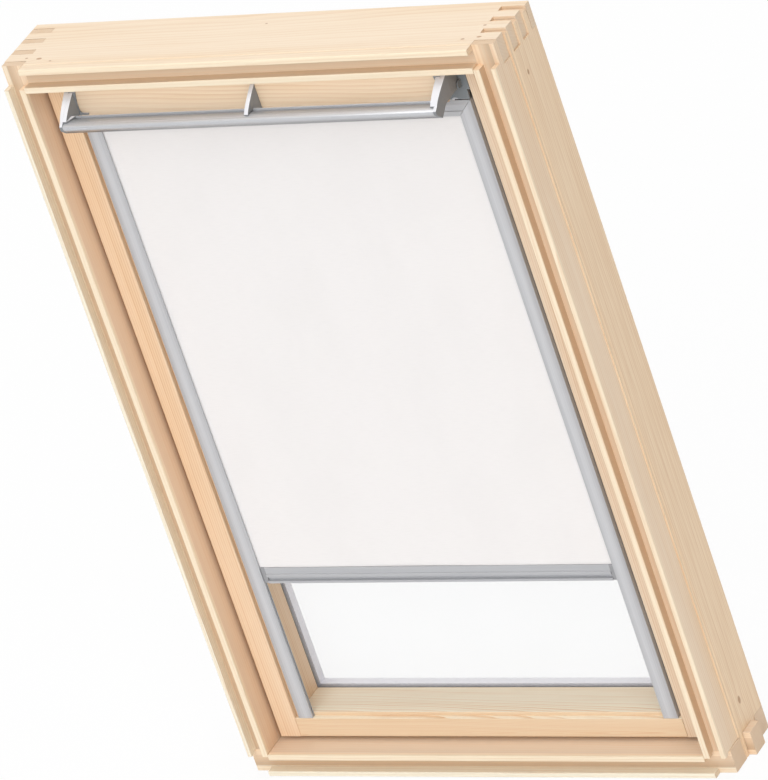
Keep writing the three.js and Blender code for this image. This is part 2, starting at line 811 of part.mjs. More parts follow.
// An end cap has the whole side profile: flap, arm and bar
function capShape() {
  const shape = new THREE.Shape();
  shape.moveTo(flapBack, 0);
  shape.lineTo(flapBack, flapHead - flapTopRound);
  shape.quadraticCurveTo(flapBack, flapHead, flapBack - flapTopRound, flapHead);
  shape.lineTo(-armRoot[0], flapHead);
  shape.lineTo(-armRoot[0], armRoot[1]);
  armCurve(shape);
  shape.lineTo(-barNoseBack, -barNoseDrop);
  shape.lineTo(-barNoseBack, -barFrontDrop);
  shape.lineTo(-barReturnBack, -barReturnDrop);
  shape.quadraticCurveTo(-barReturnBack, flapFoot, -barLipBack, flapFoot / 2);
  shape.lineTo(flapFace, flapFoot);
  shape.lineTo(0, flapFoot);
  shape.absarc(0, 0, flapPivotInset, -Math.PI / 2, 0, false);
  shape.closePath();
  return shape;
}

const armSteps = 10;
everySide.forEach(([word, side]) => {
  const span = ordered(side, flapHalf - armWideTop, capInner + overrun / 2);
  const cheek = alongX(armShape(), span, armSteps);
  const inner = flapHalf - armWideTop;
  const slantTool = alongY(
    outline([
      [armNose[1] - overrun, side * (flapHalf - armWideNose)],
      [armRoot[1] + overrun, side * inner],
      [armRoot[1] + overrun, side * (inner - overrun)],
      [armNose[1] - overrun * 4, side * (inner - overrun)],
      [armNose[1] - overrun * 4, side * (flapHalf - armWideNose)],
    ]),
    [-barNoseBack - overrun, flapFace],
  );
  const plate = alongX(capShape(), ordered(side, capInner, flapHalf), armSteps);
  const pinHole = rod(
    flapPinRadius + pinRunning,
    ordered(side, flapHalf - flapPinLength, flapHalf + overrun),
    0,
    0,
  );
  piece(`bar_arm_${word}`, cut(join(plate, cheek.subtract(slantTool)), pinHole), castGrey, flap);
});
piece(
  'bar_arm_middle',
  alongX(armShape(), [-middleArmWidth / 2, middleArmWidth / 2], armSteps),
  castGrey,
  flap,
);

// Bracket plates on the sash close the ends of the air path and hold the flap by a pin each
const plateFront = seatGap * 2;
const plateBottom = coverTop + seatGap * 3;
everySide.forEach(([word, side]) => {
  const inner = plateOuter - plateWidth;
  const lower = plateOuter - plateStepWidth;
  const notch = plateOuter - notchFromEnd;
  const shape = new THREE.Shape();
  const go = (z, x) => shape.lineTo(z, side * x);
  shape.moveTo(plateBottom, side * inner);
  go(plateBottom, notch - notchHalf);
  shape.quadraticCurveTo(plateBottom + notchHeight * 2, side * notch, plateBottom, side * (notch + notchHalf));
  go(plateBottom, lower);
  go(plateBottom + plateStepHeight, lower);
  go(plateBottom + plateStepHeight, plateOuter);
  go(sashHalfHeight - plateTopGap, plateOuter);
  go(sashHalfHeight - plateTopGap, inner);
  shape.closePath();
  const plate = alongY(shape, [plateFront, plateFront + plateThick], roundSides / 3);
  const ear = ordered(side, flapHalf + seatGap * 2, flapHalf + seatGap * 2 + earThick);
  const pivotAt = [flap.position.y, flap.position.z];
  const disc = rod(earRadius, ear, ...pivotAt);
  const web = block(ear, [pivotAt[0], plateFront + plateThick], [pivotAt[1] - earRadius, pivotAt[1] + earRadius]);
  const foot = block(
    ordered(side, inner, plateOuter),
    [plateFront + plateThick / 2, stepDepth - seatGap],
    [glassHalfZ + seatGap, glassHalfZ + earFootThick],
  );
  const pin = rod(flapPinRadius, ordered(side, flapHalf - flapPinLength / 2, flapHalf + earThick), ...pivotAt);
  piece(`flap_hinge_${word}`, join(plate, disc, web, foot, pin), castGrey, sash);
});

// Side channels: a shallow C that opens towards the cloth, with a flange along the stile's reveal

const channelBack = channelFront + channelDepth;
const channelFoot = -(sashHalfHeight - railFace) + seatGap;
const cavityFront = clothBack - channelMouth / 2;
const cavityBack = clothBack + channelMouth / 2;

function channel(side) {
  const mid = (channelInner + channelOuter) / 2;
  const corners = [
    [channelInner, channelFront + channelCrown, channelCrown],
    [mid, channelFront, channelWall],
    [channelOuter, channelFront + channelCrown, channelCrown],
    [channelOuter, channelFlangeDepth],
    [channelOuter - channelWall, channelFlangeDepth],
    [channelOuter - channelWall, channelBack],
    [channelInner, channelBack],
    [channelInner, cavityBack],
    [channelOuter - channelWall, cavityBack],
    [channelOuter - channelWall, cavityFront],
    [channelInner, cavityFront],
  ].map(([x, y, radius]) => [side * x, y, radius]);
  const body = alongZ(outline(corners), [channelFoot, coverTop]);
  const heel = block(
    ordered(side, channelInner - overrun, channelOuter + overrun),
    [stepDepth - seatGap, channelFlangeDepth + overrun],
    [channelFoot - overrun, -glassHalfZ + seatGap],
  );
  return cut(body, heel, cassetteMitre(side, false));
}

// The mitre between the channel and the cassette's front runs from the opening's corner outwards
function cassetteMitre(side, keepsCover) {
  const shift = keepsCover ? -seatGap / 2 : seatGap / 2;
  const inner = [coverBottom - shift, channelInner + shift];
  const outer = [coverTop - shift, channelOuter + shift];
  const run = [outer[0] - inner[0], outer[1] - inner[1]];
  const from = [inner[0] - run[0], inner[1] - run[1]];
  const to = [outer[0] + run[0], outer[1] + run[1]];
  const third = keepsCover ? [from[0], to[1]] : [to[0], from[1]];
  const shape = outline([from, to, third].map(([z, x]) => [z, side * x]));
  const depth = keepsCover ? cassetteStepBack : channelFlangeDepth;
  return alongY(shape, [-overrun, depth + overrun]);
}

everySide.forEach(([word, side]) => piece(`side_channel_${word}`, channel(side), aluminium, blind));

// Feet close the channels where they stand on the sash's step
everySide.forEach(([word, side]) => {
  const across = [channelInner + seatGap, channelOuter - channelWall - seatGap];
  const foot = block(
    ordered(side, ...across),
    [cavityFront + seatGap, cavityBack - seatGap],
    [channelFoot, channelFoot + footHeight],
  );
  piece(`channel_foot_${word}`, foot, greyPlastic, blind);
});

// Cassette: the front cover is flush with the channels, the housing closes round the roller

const rollerRise = glassHalfZ - rollerDrop;
const cassetteTop = glassHalfZ - cassetteTopGap;
const cassetteHalfLength = glassHalfX - cassetteEndGap;
const [bandLow, bandGroove, bandHigh] = coverBandShares.map((share) => coverBottom + share * coverHeight);
const coverRoof = coverTop - channelCrown;
const coverFrontSection = outline([
  [channelFront, coverBottom, channelCrown],
  [channelFront, bandLow],
  [channelFront + coverBandDepth, bandLow],
  [channelFront + coverBandDepth, bandGroove],
  [channelFront, bandGroove],
  [channelFront, bandHigh],
  [channelFront + coverBandDepth * 2, coverRoof, channelCrown],
  [channelFront + cassetteWall + coverBandDepth * 2, coverRoof - cassetteWall],
  [channelFront + cassetteWall + coverBandDepth, coverBottom],
]);
const coverWidth = [-channelOuter, channelOuter];
const shoulderFront = channelFront + coverBandDepth * 2;
const shoulderBack = cassetteStepBack + cassetteWall;
const shoulderRise = coverTop + (cassetteTop - coverTop) * coverShoulderShare;
const shoulder = new THREE.Shape();
shoulder.moveTo(shoulderFront, coverRoof - cassetteWall);
shoulder.quadraticCurveTo(shoulderFront, shoulderRise, shoulderBack, cassetteTop);
shoulder.lineTo(shoulderBack, cassetteTop - cassetteWall);
shoulder.quadraticCurveTo(
  shoulderFront + cassetteWall,
  shoulderRise - cassetteWall,
  shoulderFront + cassetteWall,
  coverRoof - cassetteWall,
);
shoulder.closePath();
const coverBody = join(
  alongX(coverFrontSection, coverWidth),
  alongX(shoulder, coverWidth, coverShoulderSteps),
);
const coverEndTrim = everySide.flatMap(([, side]) => [
  cassetteMitre(side, true),
  block(
    ordered(side, cassetteHalfLength, channelOuter + overrun),
    [cassetteStepBack - seatGap, cassetteBack],
    [coverBottom - overrun, cassetteTop + overrun],
  ),
  block(
    ordered(side, channelInner - seatGap, channelOuter + overrun),
    [channelFront + cassetteWall, channelFlangeDepth + overrun],
    [coverBottom - overrun, coverTop + seatGap],
  ),
]);
piece('cassette_cover', cut(coverBody, coverEndTrim), aluminium, blind);

const housingFront = cassetteStepBack + cassetteWall + seatGap;
const housingSection = outline([
  [housingFront, cassetteTop],
  [cassetteBack, cassetteTop, cassetteWall],
  [cassetteBack, coverBottom, cassetteWall],
  [cassetteStepBack, coverBottom],
  [cassetteStepBack, coverBottom + cassetteWall],
  [cassetteBack - cassetteWall, coverBottom + cassetteWall],
  [cassetteBack - cassetteWall, cassetteTop - cassetteWall],
  [housingFront, cassetteTop - cassetteWall],
]);
const housingHalf = cassetteHalfLength - cassetteEndThick - seatGap;
piece('cassette_housing', alongX(housingSection, [-housingHalf, housingHalf]), aluminium, blind);
everySide.forEach(([word, side]) => {
  const across = ordered(side, cassetteHalfLength - cassetteEndThick, cassetteHalfLength);
  const end = alongX(
    rectangle([housingFront, cassetteBack], [coverBottom, cassetteTop], cassetteWall),
    across,
  );
  const hole = rod(rollerPinRadius + seatGap, [across[0] - overrun, across[1] + overrun], rollerBack, rollerRise);
  const flangeRoom = block(
    ordered(side, channelOuter - channelWall - seatGap, channelOuter + overrun),
    [0, channelFlangeDepth + seatGap],
    [coverBottom - overrun, cassetteTop],
  );
  piece(`cassette_end_${word}`, cut(end, hole, flangeRoom), greyPlastic, blind);
});

// Roller: tube, plugs, pins, return spring on its core, and the wound cloth

const clothHalfWidth = cassetteHalfLength - cassetteEndThick - clothEdgeGap;
const roller = new THREE.Group();
roller.position.set(0, rollerBack, rollerRise);
blind.add(roller);

const tubeHalf = cassetteHalfLength - cassetteEndThick - tubeEndGap;
const tubeBore = tubeRadius - tubeWall;
piece(
  'roller_tube',
  cut(rod(tubeRadius, [-tubeHalf, tubeHalf], 0, 0), rod(tubeBore, [-tubeHalf - overrun, tubeHalf + overrun], 0, 0)),
  aluminium,
  roller,
);
everySide.forEach(([word, side]) => {
  const across = ordered(side, tubeHalf - plugLength, tubeHalf);
  const bearing = rod(rollerPinRadius + pinRunning, [across[0] - overrun, across[1] + overrun], 0, 0);
  piece(`roller_plug_${word}`, rod(tubeBore - seatGap, across, 0, 0).subtract(bearing), greyPlastic, roller);
});

// The cloth is wound as one spiral ribbon
function spiralShape() {
  const start = tubeRadius + seatGap;
  const stepsPerTurn = 16;
  const total = rollTurns * stepsPerTurn;
  const along = (offset) => Array.from({ length: total + 1 }, (_, index) => {
    const angle = index / stepsPerTurn * Math.PI * 2;
    const radius = start + rollPitch * index / stepsPerTurn + offset;
    return new THREE.Vector2(Math.cos(angle) * radius, Math.sin(angle) * radius);
  });
  return new THREE.Shape([...along(0), ...along(rollCloth).reverse()]);
}
piece('cloth_roll', alongX(spiralShape(), [-clothHalfWidth, clothHalfWidth]), cloth, roller);

const pinEnd = cassetteHalfLength + seatGap;
const idlePin = [-pinEnd, -tubeHalf + plugLength / 2];
const corePin = [tubeHalf - plugLength - overrun, pinEnd];
const coreEnd = tubeHalf - plugLength - seatGap;
const core = join(
  rod(rollerPinRadius, corePin, rollerBack, rollerRise),
  rod(springCoreRadius, [coreEnd - springCoreLength, coreEnd], rollerBack, rollerRise),
);
piece('roller_pin', rod(rollerPinRadius, idlePin, rollerBack, rollerRise), steel, blind);
piece('spring_core', core, steel, blind);

// Return spring: an open helix that hugs its core
function springGeometry() {
  const wire = springWire / 2;
  const coilRadius = springCoreRadius + seatGap + wire;
  const rings = springCoils * springSteps;
  const positions = [];
  const indices = [];
  for (let ringIndex = 0; ringIndex <= rings; ringIndex += 1) {
    const turn = ringIndex / springSteps * Math.PI * 2;
    const outward = new THREE.Vector3(0, Math.cos(turn), Math.sin(turn));
    const centre = outward.clone().multiplyScalar(coilRadius);
    centre.x = ringIndex / springSteps * springPitch;
    const tangent = new THREE.Vector3(springPitch / (Math.PI * 2), -Math.sin(turn) * coilRadius, Math.cos(turn) * coilRadius);
    const up = tangent.normalize().clone().cross(outward).normalize();
    for (let sideIndex = 0; sideIndex < springSides; sideIndex += 1) {
      const angle = sideIndex / springSides * Math.PI * 2;
      const point = centre.clone()
        .addScaledVector(outward, Math.cos(angle) * wire)
        .addScaledVector(up, Math.sin(angle) * wire);
      positions.push(point.x, point.y, point.z);
    }
  }
  for (let ringIndex = 0; ringIndex < rings; ringIndex += 1) {
    for (let sideIndex = 0; sideIndex < springSides; sideIndex += 1) {
      const next = (sideIndex + 1) % springSides;
      const a = ringIndex * springSides + sideIndex;
      const b = ringIndex * springSides + next;
      const c = a + springSides;
      const d = b + springSides;
      indices.push(a, b, d, a, d, c);
    }
  }
  const last = rings * springSides;
  for (let sideIndex = 1; sideIndex < springSides - 1; sideIndex += 1) {
    indices.push(0, sideIndex + 1, sideIndex);
    indices.push(last, last + sideIndex, last + sideIndex + 1);
  }
  const geometry = new THREE.BufferGeometry();
  geometry.setAttribute('position', new THREE.BufferAttribute(new Float32Array(positions), 3));
  geometry.setIndex(indices);
  return geometry;
}
const springMesh = new THREE.Mesh(springGeometry(), steel);
springMesh.name = 'return_spring';
springMesh.position.set(coreEnd - (springCoreLength + springCoils * springPitch) / 2, rollerBack, rollerRise);
blind.add(springMesh);
console.log(`least gap between spring turns ${(springPitch - springWire).toFixed(2)} mm`);

// Cloth: leaves the roll, bends over the cassette's mouth and hangs in the channels down to the bar

const barBottom = coverBottom - blindDrop;
const barTop = barBottom + barShow;
const blindBarHalfLength = channelInner - sliderClearance - sliderWidth - seatGap;
const clothLow = barTop - blindBarSlotShare * barShow;
const halfCloth = clothThick / 2;
const rollFront = rollerBack - (tubeRadius + seatGap + rollPitch * rollTurns + rollCloth) - seatGap;
const clothShape = outline([
  [clothBack - halfCloth, clothLow],
  [clothBack + halfCloth, clothLow],
  [clothBack + halfCloth, rollerRise - clothBendDrop],
  [rollFront, rollerRise],
  [rollFront - clothThick, rollerRise],
  [clothBack - halfCloth, rollerRise - clothBendDrop],
]);
const sheet = alongX(clothShape, [-clothHalfWidth, clothHalfWidth]);
const slantTrim = everySide.map(([, side]) => block(
  ordered(side, channelInner - seatGap, clothHalfWidth + overrun),
  [-overrun, cassetteBack],
  [coverBottom - seatGap, cassetteTop],
));
const barEndTrim = everySide.map(([, side]) => block(
  ordered(side, blindBarHalfLength, clothHalfWidth + overrun),
  [-overrun, cassetteBack],
  [clothLow - overrun, barTop + seatGap],
));
piece('blind_cloth', cut(sheet, slantTrim, barEndTrim), cloth, blind);

// Bottom bar: top band, pull ledge, finger groove and lower lip, with a slot for the cloth

const bottomBar = new THREE.Group();
blind.add(bottomBar);
const [lipTop, grooveTop, ledgeTop] = blindBarBandShares.map((share) => barBottom + (1 - share) * barShow).reverse();
const barBack = blindBarFront + blindBarDepth;
const bandFace = blindBarFront + blindBarStep;
const barOutline = outline([
  [bandFace, barTop, edgeRound / 2],
  [bandFace, ledgeTop],
  [blindBarFront, ledgeTop - blindBarStep / 2, edgeRound / 2],
  [blindBarFront, grooveTop],
  [blindBarFront + blindBarGroove, grooveTop - edgeRound],
  [blindBarFront + blindBarGroove, lipTop],
  [blindBarFront, lipTop - edgeRound / 2, edgeRound / 2],
  [blindBarFront, barBottom, edgeRound / 2],
  [barBack, barBottom, edgeRound],
  [barBack, barTop, edgeRound],
]);
const clothSlot = block(
  [-blindBarHalfLength - overrun, blindBarHalfLength + overrun],
  [clothBack - blindBarSlot / 2, clothBack + blindBarSlot / 2],
  [clothLow - seatGap, barTop + overrun],
);
piece(
  'blind_bottom_bar',
  cut(alongX(barOutline, [-blindBarHalfLength, blindBarHalfLength]), clothSlot),
  aluminium,
  bottomBar,
);

// Sliders close the bar's ends; their tongues run in the channels
everySide.forEach(([word, side]) => {
  const near = blindBarHalfLength + seatGap;
  const head = ordered(side, near, near + sliderWidth);
  const tongue = ordered(side, near + sliderWidth / 2, near + sliderWidth + tongueReach);
  const middle = (barTop + barBottom) / 2;
  const headShape = rectangle([blindBarFront + edgeRound, barBack], [barBottom, barTop], edgeRound);
  const body = join(
    alongX(headShape, head),
    block(
      tongue,
      [clothBack - tongueThick / 2, clothBack + tongueThick / 2],
      [middle - tongueHeight / 2, middle + tongueHeight / 2],
    ),
  );
  piece(`bar_slider_${word}`, body, greyPlastic, bottomBar);
});

export default roofWindow;
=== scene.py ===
import math

import json

import bmesh
import bpy
from mathutils import Euler, Matrix, Vector


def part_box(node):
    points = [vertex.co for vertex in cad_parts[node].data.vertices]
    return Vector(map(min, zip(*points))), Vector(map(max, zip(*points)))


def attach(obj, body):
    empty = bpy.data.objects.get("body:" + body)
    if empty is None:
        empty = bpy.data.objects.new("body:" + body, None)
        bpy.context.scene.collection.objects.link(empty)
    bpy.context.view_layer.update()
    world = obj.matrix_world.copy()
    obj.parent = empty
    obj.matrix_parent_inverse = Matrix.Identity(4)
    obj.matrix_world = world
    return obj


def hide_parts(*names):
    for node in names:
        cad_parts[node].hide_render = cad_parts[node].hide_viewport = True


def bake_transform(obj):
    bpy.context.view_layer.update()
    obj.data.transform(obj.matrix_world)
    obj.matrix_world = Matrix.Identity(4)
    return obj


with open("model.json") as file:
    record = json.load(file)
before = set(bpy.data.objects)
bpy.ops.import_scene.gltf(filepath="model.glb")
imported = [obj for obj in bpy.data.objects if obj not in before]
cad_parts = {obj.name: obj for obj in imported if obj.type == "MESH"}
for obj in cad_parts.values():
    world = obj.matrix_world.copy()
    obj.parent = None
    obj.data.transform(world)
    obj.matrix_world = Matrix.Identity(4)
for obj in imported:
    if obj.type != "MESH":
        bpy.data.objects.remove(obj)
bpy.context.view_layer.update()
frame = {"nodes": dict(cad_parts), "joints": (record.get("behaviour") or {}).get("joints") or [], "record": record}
nodes = frame["nodes"]

# Frame rails and jambs.
# Four planed pine members with glued comb fingers at the corners, and a groove for the lining all round.
# They have two coats of clear satin varnish; only the outer side of the jambs is left sawn, and its deeper tone is
# painted shade.


class Wire:
    """One output of a finish. Signs written on it become the finish's own maths."""

    def __init__(self, finish, socket):
        self.finish = finish
        self.socket = socket

    def maths(self, operation, first, second=0.0):
        return self.finish.node("ShaderNodeMath", {"operation": operation}, {0: first, 1: second})

    def __add__(self, other):
        return self.maths("ADD", self, other)

    __radd__ = __add__

    def __sub__(self, other):
        return self.maths("SUBTRACT", self, other)

    def __rsub__(self, other):
        return self.maths("SUBTRACT", other, self)

    def __mul__(self, other):
        return self.maths("MULTIPLY", self, other)

    __rmul__ = __mul__

    def __truediv__(self, other):
        return self.maths("DIVIDE", self, other)

    def __mod__(self, other):
        return self.maths("FLOORED_MODULO", self, other)

    def __abs__(self):
        return self.maths("ABSOLUTE", self)


class Finish:
    """The finish of a surface, or of the world. Its nodes are made one by one and end in one shader."""

    def __init__(self, name, holder=None):
        self.material = holder or bpy.data.materials.new(name)
        self.material.use_nodes = True
        self.tree = self.material.node_tree
        self.tree.nodes.clear()

    def node(self, kind, settings=None, sockets=None, output=0):
        made = self.tree.nodes.new(kind)
        for setting, value in (settings or {}).items():
            if setting == "stops":
                ramp = made.color_ramp
                while len(ramp.elements) < len(value):
                    ramp.elements.new(0.5)
                for element, (place, level) in zip(ramp.elements, value):
                    element.position = place
                    element.color = (level, level, level, 1.0)
            else:
                setattr(made, setting, value)
        for socket, value in (sockets or {}).items():
            if isinstance(value, Wire):
                self.tree.links.new(value.socket, made.inputs[socket])
            elif isinstance(value, tuple) and made.inputs[socket].type == "RGBA":
                made.inputs[socket].default_value = (*value, 1.0)
            else:
                made.inputs[socket].default_value = value
        return Wire(self, made.outputs[output]) if len(made.outputs) else None

    def place(self):
        return self.node("ShaderNodeTexCoord", output="Object")

    def facing(self):
        return self.parts(self.node("ShaderNodeTexCoord", output="Normal"))

    def parts(self, vector):
        split = self.node("ShaderNodeSeparateXYZ", {}, {0: vector})
        return [Wire(self, output) for output in split.socket.node.outputs]

    def vector(self, x, y, z):
        return self.node("ShaderNodeCombineXYZ", {}, {0: x, 1: y, 2: z})

    def length(self, vector):
        return self.node("ShaderNodeVectorMath", {"operation": "LENGTH"}, {0: vector}, "Value")

    def noise(self, vector, scale=1.0, detail=3.0, roughness=0.5, output=0):
        sockets = {"Vector": vector, "Scale": scale, "Detail": detail, "Roughness": roughness}
        return self.node("ShaderNodeTexNoise", {}, sockets, output)

    def smooth(self, value, low, high, to_low=0.0, to_high=1.0):
        sockets = {"Value": value, "From Min": low, "From Max": high, "To Min": to_low, "To Max": to_high}
        return self.node("ShaderNodeMapRange", {"interpolation_type": "SMOOTHSTEP"}, sockets)

    def mix(self, share, first, second):
        return self.node("ShaderNodeMix", {"data_type": "RGBA"}, {0: share, 6: first, 7: second}, 2)

    def bump(self, height, distance, strength=1.0):
        return self.node("ShaderNodeBump", {}, {"Height": height, "Distance": distance, "Strength": strength})

    def end_in(self, shader):
        self.node("ShaderNodeOutputMaterial", {}, {"Surface": shader})
        return self.material

    def surface(self, **sockets):
        named = {name.replace("_", " "): value for name, value in sockets.items()}
        return self.end_in(self.node("ShaderNodeBsdfPrincipled", {}, named))


def srgb(red, green, blue):
    """A colour as it looks, each part up to 255, turned into the light that it sends back."""
    parts = [part / 255 for part in (red, green, blue)]
    return tuple(part / 12.92 if part <= 0.04045 else ((part + 0.055) / 1.055) ** 2.4 for part in parts)


def shade(colour, *shares):
    """A colour with its red, green and blue each cut to a share of what they were."""
    return srgb(*[part * share for part, share in zip(colour, shares)])


def dress(material, *names):
    for name in names:
        nodes[name].data.materials.clear()
        nodes[name].data.materials.append(material)


jamb_low, jamb_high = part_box("frame_right_jamb")
lip_face = jamb_low.y
jamb_side = jamb_high.x
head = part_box("frame_top_rail")[1].z
mounts = {mount["name"]: mount["pos_m"] for mount in frame["record"]["mounts"]}
groove_floor = mounts["lining_seat"][1]
openings = {opening["name"]: opening["box_m"] for opening in frame["record"]["physics"]["openings"]}


def lining_groove(word, axis, sign):
    """A groove's axis, the way outwards along it, and the places of the groove's inner and outer side."""
    return axis, sign, *sorted(sign * corner[axis] for corner in openings["lining_groove_" + word])


def pine(
    name, along, pith, tone, ring=0.0034, contrast=0.4, taper=0.0, knots=(),
    lip_tone=None, groove=None, painted_lit_wall=False, faces=(), sawn_shade_tone=None,
):
    """Varnished pine, with its grain along X or Z. Its pith is placed across the board and into it.
    The groove gets painted shade, deeper towards its outer side, and the wall of the lip beyond it may get painted
    light.
    Each of the faces names an axis, a sign and a tone that paints the light or shade of the faces that look that
    way."""
    finish = Finish(name)
    place = finish.place()
    x, y, z = finish.parts(place)
    facing = finish.facing()
    if along == "X":
        length, side, end, stretch = x, z, facing[0], (0.55, 1.0, 1.0)
    else:
        length, side, end, stretch = z, x, facing[2], (1.0, 1.0, 0.55)
    swing = 0.016
    slow = finish.vector(length * 2.6, side * 9.0, y * 9.0)
    wander = finish.parts(finish.noise(slow, detail=2.0, roughness=0.45, output="Color"))
    off_side = side - pith[0] + (wander[0] - 0.5) * swing
    off_depth = y - pith[1] + (wander[1] - 0.5) * swing
    radius = finish.length(finish.vector(0.0, off_side, off_depth)) + length * taper
    heart = 0.0
    for knot_place, size in knots:
        offset = finish.node("ShaderNodeVectorMath", {"operation": "SUBTRACT"}, {0: place, 1: knot_place})
        scaled = finish.node("ShaderNodeVectorMath", {"operation": "MULTIPLY"}, {0: offset, 1: stretch})
        away = finish.length(scaled)
        radius = radius + finish.smooth(away, size * 0.4, size * 4.5, size * 1.3, 0.0)
        heart = finish.smooth(away, size * 0.7, size * 1.15, 1.0, 0.0) + heart
    rings = radius / ring
    year = finish.node("ShaderNodeMath", {"operation": "FLOOR"}, {0: rings})
    harvest = finish.node("ShaderNodeTexWhiteNoise", {"noise_dimensions": "1D"}, {"W": year}, "Value")
    growth = [(0.0, 0.1), (0.45, 0.2), (0.8, 0.75), (0.93, 1.0), (1.0, 0.1)]
    late_wood = finish.node("ShaderNodeValToRGB", {"stops": growth}, {0: rings % 1.0})
    fibre = finish.noise(finish.vector(length * 7.0, side * 620.0, y * 620.0), roughness=0.6)
    cloud = finish.noise(finish.vector(length * 2.2, side * 26.0, y * 26.0), roughness=0.55)
    dark = shade(tone, 0.91, 0.83, 0.75)
    amber = shade(tone, 0.98, 0.94, 0.88)
    wood = finish.mix(finish.smooth(cloud, 0.42, 0.72, 0.0, 0.45), srgb(*tone), amber)
    # Painted light and shade: faces behind the lips that look one way get a lighter or darker tone of their own.
    for axis, sign, painted_face_light in faces:
        turned = finish.smooth(facing[axis] * sign, 0.6, 0.9)
        behind_lip = finish.smooth(y, lip_face + 0.0065, lip_face + 0.0085)
        wood = finish.mix(turned * behind_lip, wood, srgb(*painted_face_light))
    if lip_tone:
        on_lip = finish.smooth(y, lip_face + 0.0005, lip_face + 0.0065, 0.85, 0.0)
        wood = finish.mix(on_lip, wood, srgb(*lip_tone))
    # Painted shade in the lining groove: its floor darkens towards the outer lip, and the inner lip's wall is
    # darkened too.
    if groove:
        axis, sign, near, far = groove
        outwards = (x, y, z)[axis] * sign
        painted_groove_shade = shade(tone, 0.80, 0.76, 0.72)
        floor = finish.smooth(facing[1] * -1.0, 0.6, 0.9)
        floor = floor * finish.smooth(y, groove_floor - 0.0045, groove_floor - 0.0035)
        floor = floor * finish.smooth(outwards, near - 0.0002, near)
        floor = floor * finish.smooth(outwards, near, far, 0.35, 1.0)
        floor = floor * finish.smooth(outwards, far + 0.0006, far + 0.0010, 0.9, 0.0)
        inner_wall = finish.smooth(facing[axis] * sign, 0.6, 0.9)
        inner_wall = inner_wall * finish.smooth(y, lip_face + 0.0008, lip_face + 0.0015)
        inner_wall = inner_wall * finish.smooth(outwards, near - 0.0020, near - 0.0016)
        inner_wall = inner_wall * finish.smooth(outwards, near + 0.0010, near + 0.0014, 1.0, 0.0)
        wood = finish.mix(floor, wood, painted_groove_shade)
        wood = finish.mix(inner_wall * 0.75, wood, painted_groove_shade)
    # Painted light: the outer lip's wall in the groove is made nearly as pale as the lip fronts.
    if painted_lit_wall:
        beyond = finish.smooth(outwards, far - 0.0010, far - 0.0002)
        beyond = beyond * finish.smooth(y, groove_floor - 0.0007, groove_floor + 0.0005, 1.0, 0.0)
        wood = finish.mix(beyond, wood, srgb(255, 250, 230))
    # The outer side of the jamb gets sawn fibre streaks and a deeper, more orange tone that paints its shade.
    if sawn_shade_tone:
        sawn = finish.smooth(x, jamb_side - 0.0015, jamb_side - 0.0005)
        wood = finish.mix(sawn, wood, srgb(*sawn_shade_tone))
        wood = finish.mix(sawn * finish.smooth(fibre, 0.4, 0.7, 0.0, 0.35), wood, dark)
    lines = late_wood * (harvest * 0.8 + 0.4) * finish.smooth(cloud, 0.3, 0.7, contrast * 0.5, contrast)
    wood = finish.mix(lines, wood, dark)
    wood = finish.mix(finish.smooth(fibre, 0.35, 0.75, 0.0, 0.2), wood, dark)
    end_grain = finish.smooth(abs(end), 0.6, 0.9)
    wood = finish.mix(end_grain * 0.45, wood, shade(tone, 0.84, 0.78, 0.72))
    if knots:
        wood = finish.mix(heart * 0.75, wood, shade(tone, 0.72, 0.58, 0.46))
    return finish.surface(
        Base_Color=wood,
        Roughness=finish.smooth(fibre, 0.3, 0.7, 0.38, 0.52),
        Normal=finish.bump(fibre * 0.6 + late_wood * 0.4, 0.00012, 0.5),
        Specular_IOR_Level=0.3,
        Coat_Weight=0.1,
        Coat_Roughness=0.3,
    )


frame_pine = (252, 229, 201)
lip_pine = (254, 240, 213)
head_knots = (
    (-0.3361, -0.0393, 0.0026), (-0.3576, -0.0366, 0.0014), (-0.3143, -0.0465, 0.0012),
    (0.3343, -0.0396, 0.0018), (0.3576, -0.0356, 0.0022), (0.3522, -0.0049, 0.0016),
    (-0.0050, 0.0280, 0.0012),
)
jamb_knots = ((0.0013, 1.1001, 0.0024), (0.0064, 0.0801, 0.0036))
dress(
    pine(
        "pine top rail", "X", (1.30, 0.09), (255, 236, 211), 0.0042, 0.5, 0.01,
        knots=[((across, depth, head), size) for across, depth, size in head_knots],
        lip_tone=lip_pine, groove=lining_groove("top", 2, 1),
    ),
    "frame_top_rail",
)
dress(
    pine(
        "pine bottom rail", "X", (-0.11, 0.05), frame_pine, 0.0034, 0.45,
        lip_tone=lip_pine, groove=lining_groove("bottom", 2, -1), painted_lit_wall=True,
        # Painted shade: the rail's upward inner face is given a darker tone.
        faces=((2, 1, (234, 212, 188)),),
    ),
    "frame_bottom_rail",
)
dress(
    pine(
        "pine left jamb", "Z", (-0.46, 0.03), frame_pine, 0.0034, 0.55,
        lip_tone=lip_pine, groove=lining_groove("left", 0, -1), painted_lit_wall=True,
        # Painted shade: the jamb's inner face, which looks into the opening, is given a darker tone.
        faces=((0, 1, (240, 211, 182)),),
    ),
    "frame_left_jamb",
)
dress(
    pine(
        "pine right jamb", "Z", (0.47, -0.22), frame_pine, 0.0038, 0.75, 0.004,
        knots=[((jamb_side, depth, height), size) for depth, height, size in jamb_knots],
        lip_tone=lip_pine, groove=lining_groove("right", 0, 1), sawn_shade_tone=(255, 229, 195),
    ),
    "frame_right_jamb",
)

# Pivot hinges on the frame.
# A plated steel plate with a riveted pin is let into each jamb by its own thickness.
# Four countersunk screws hold it.


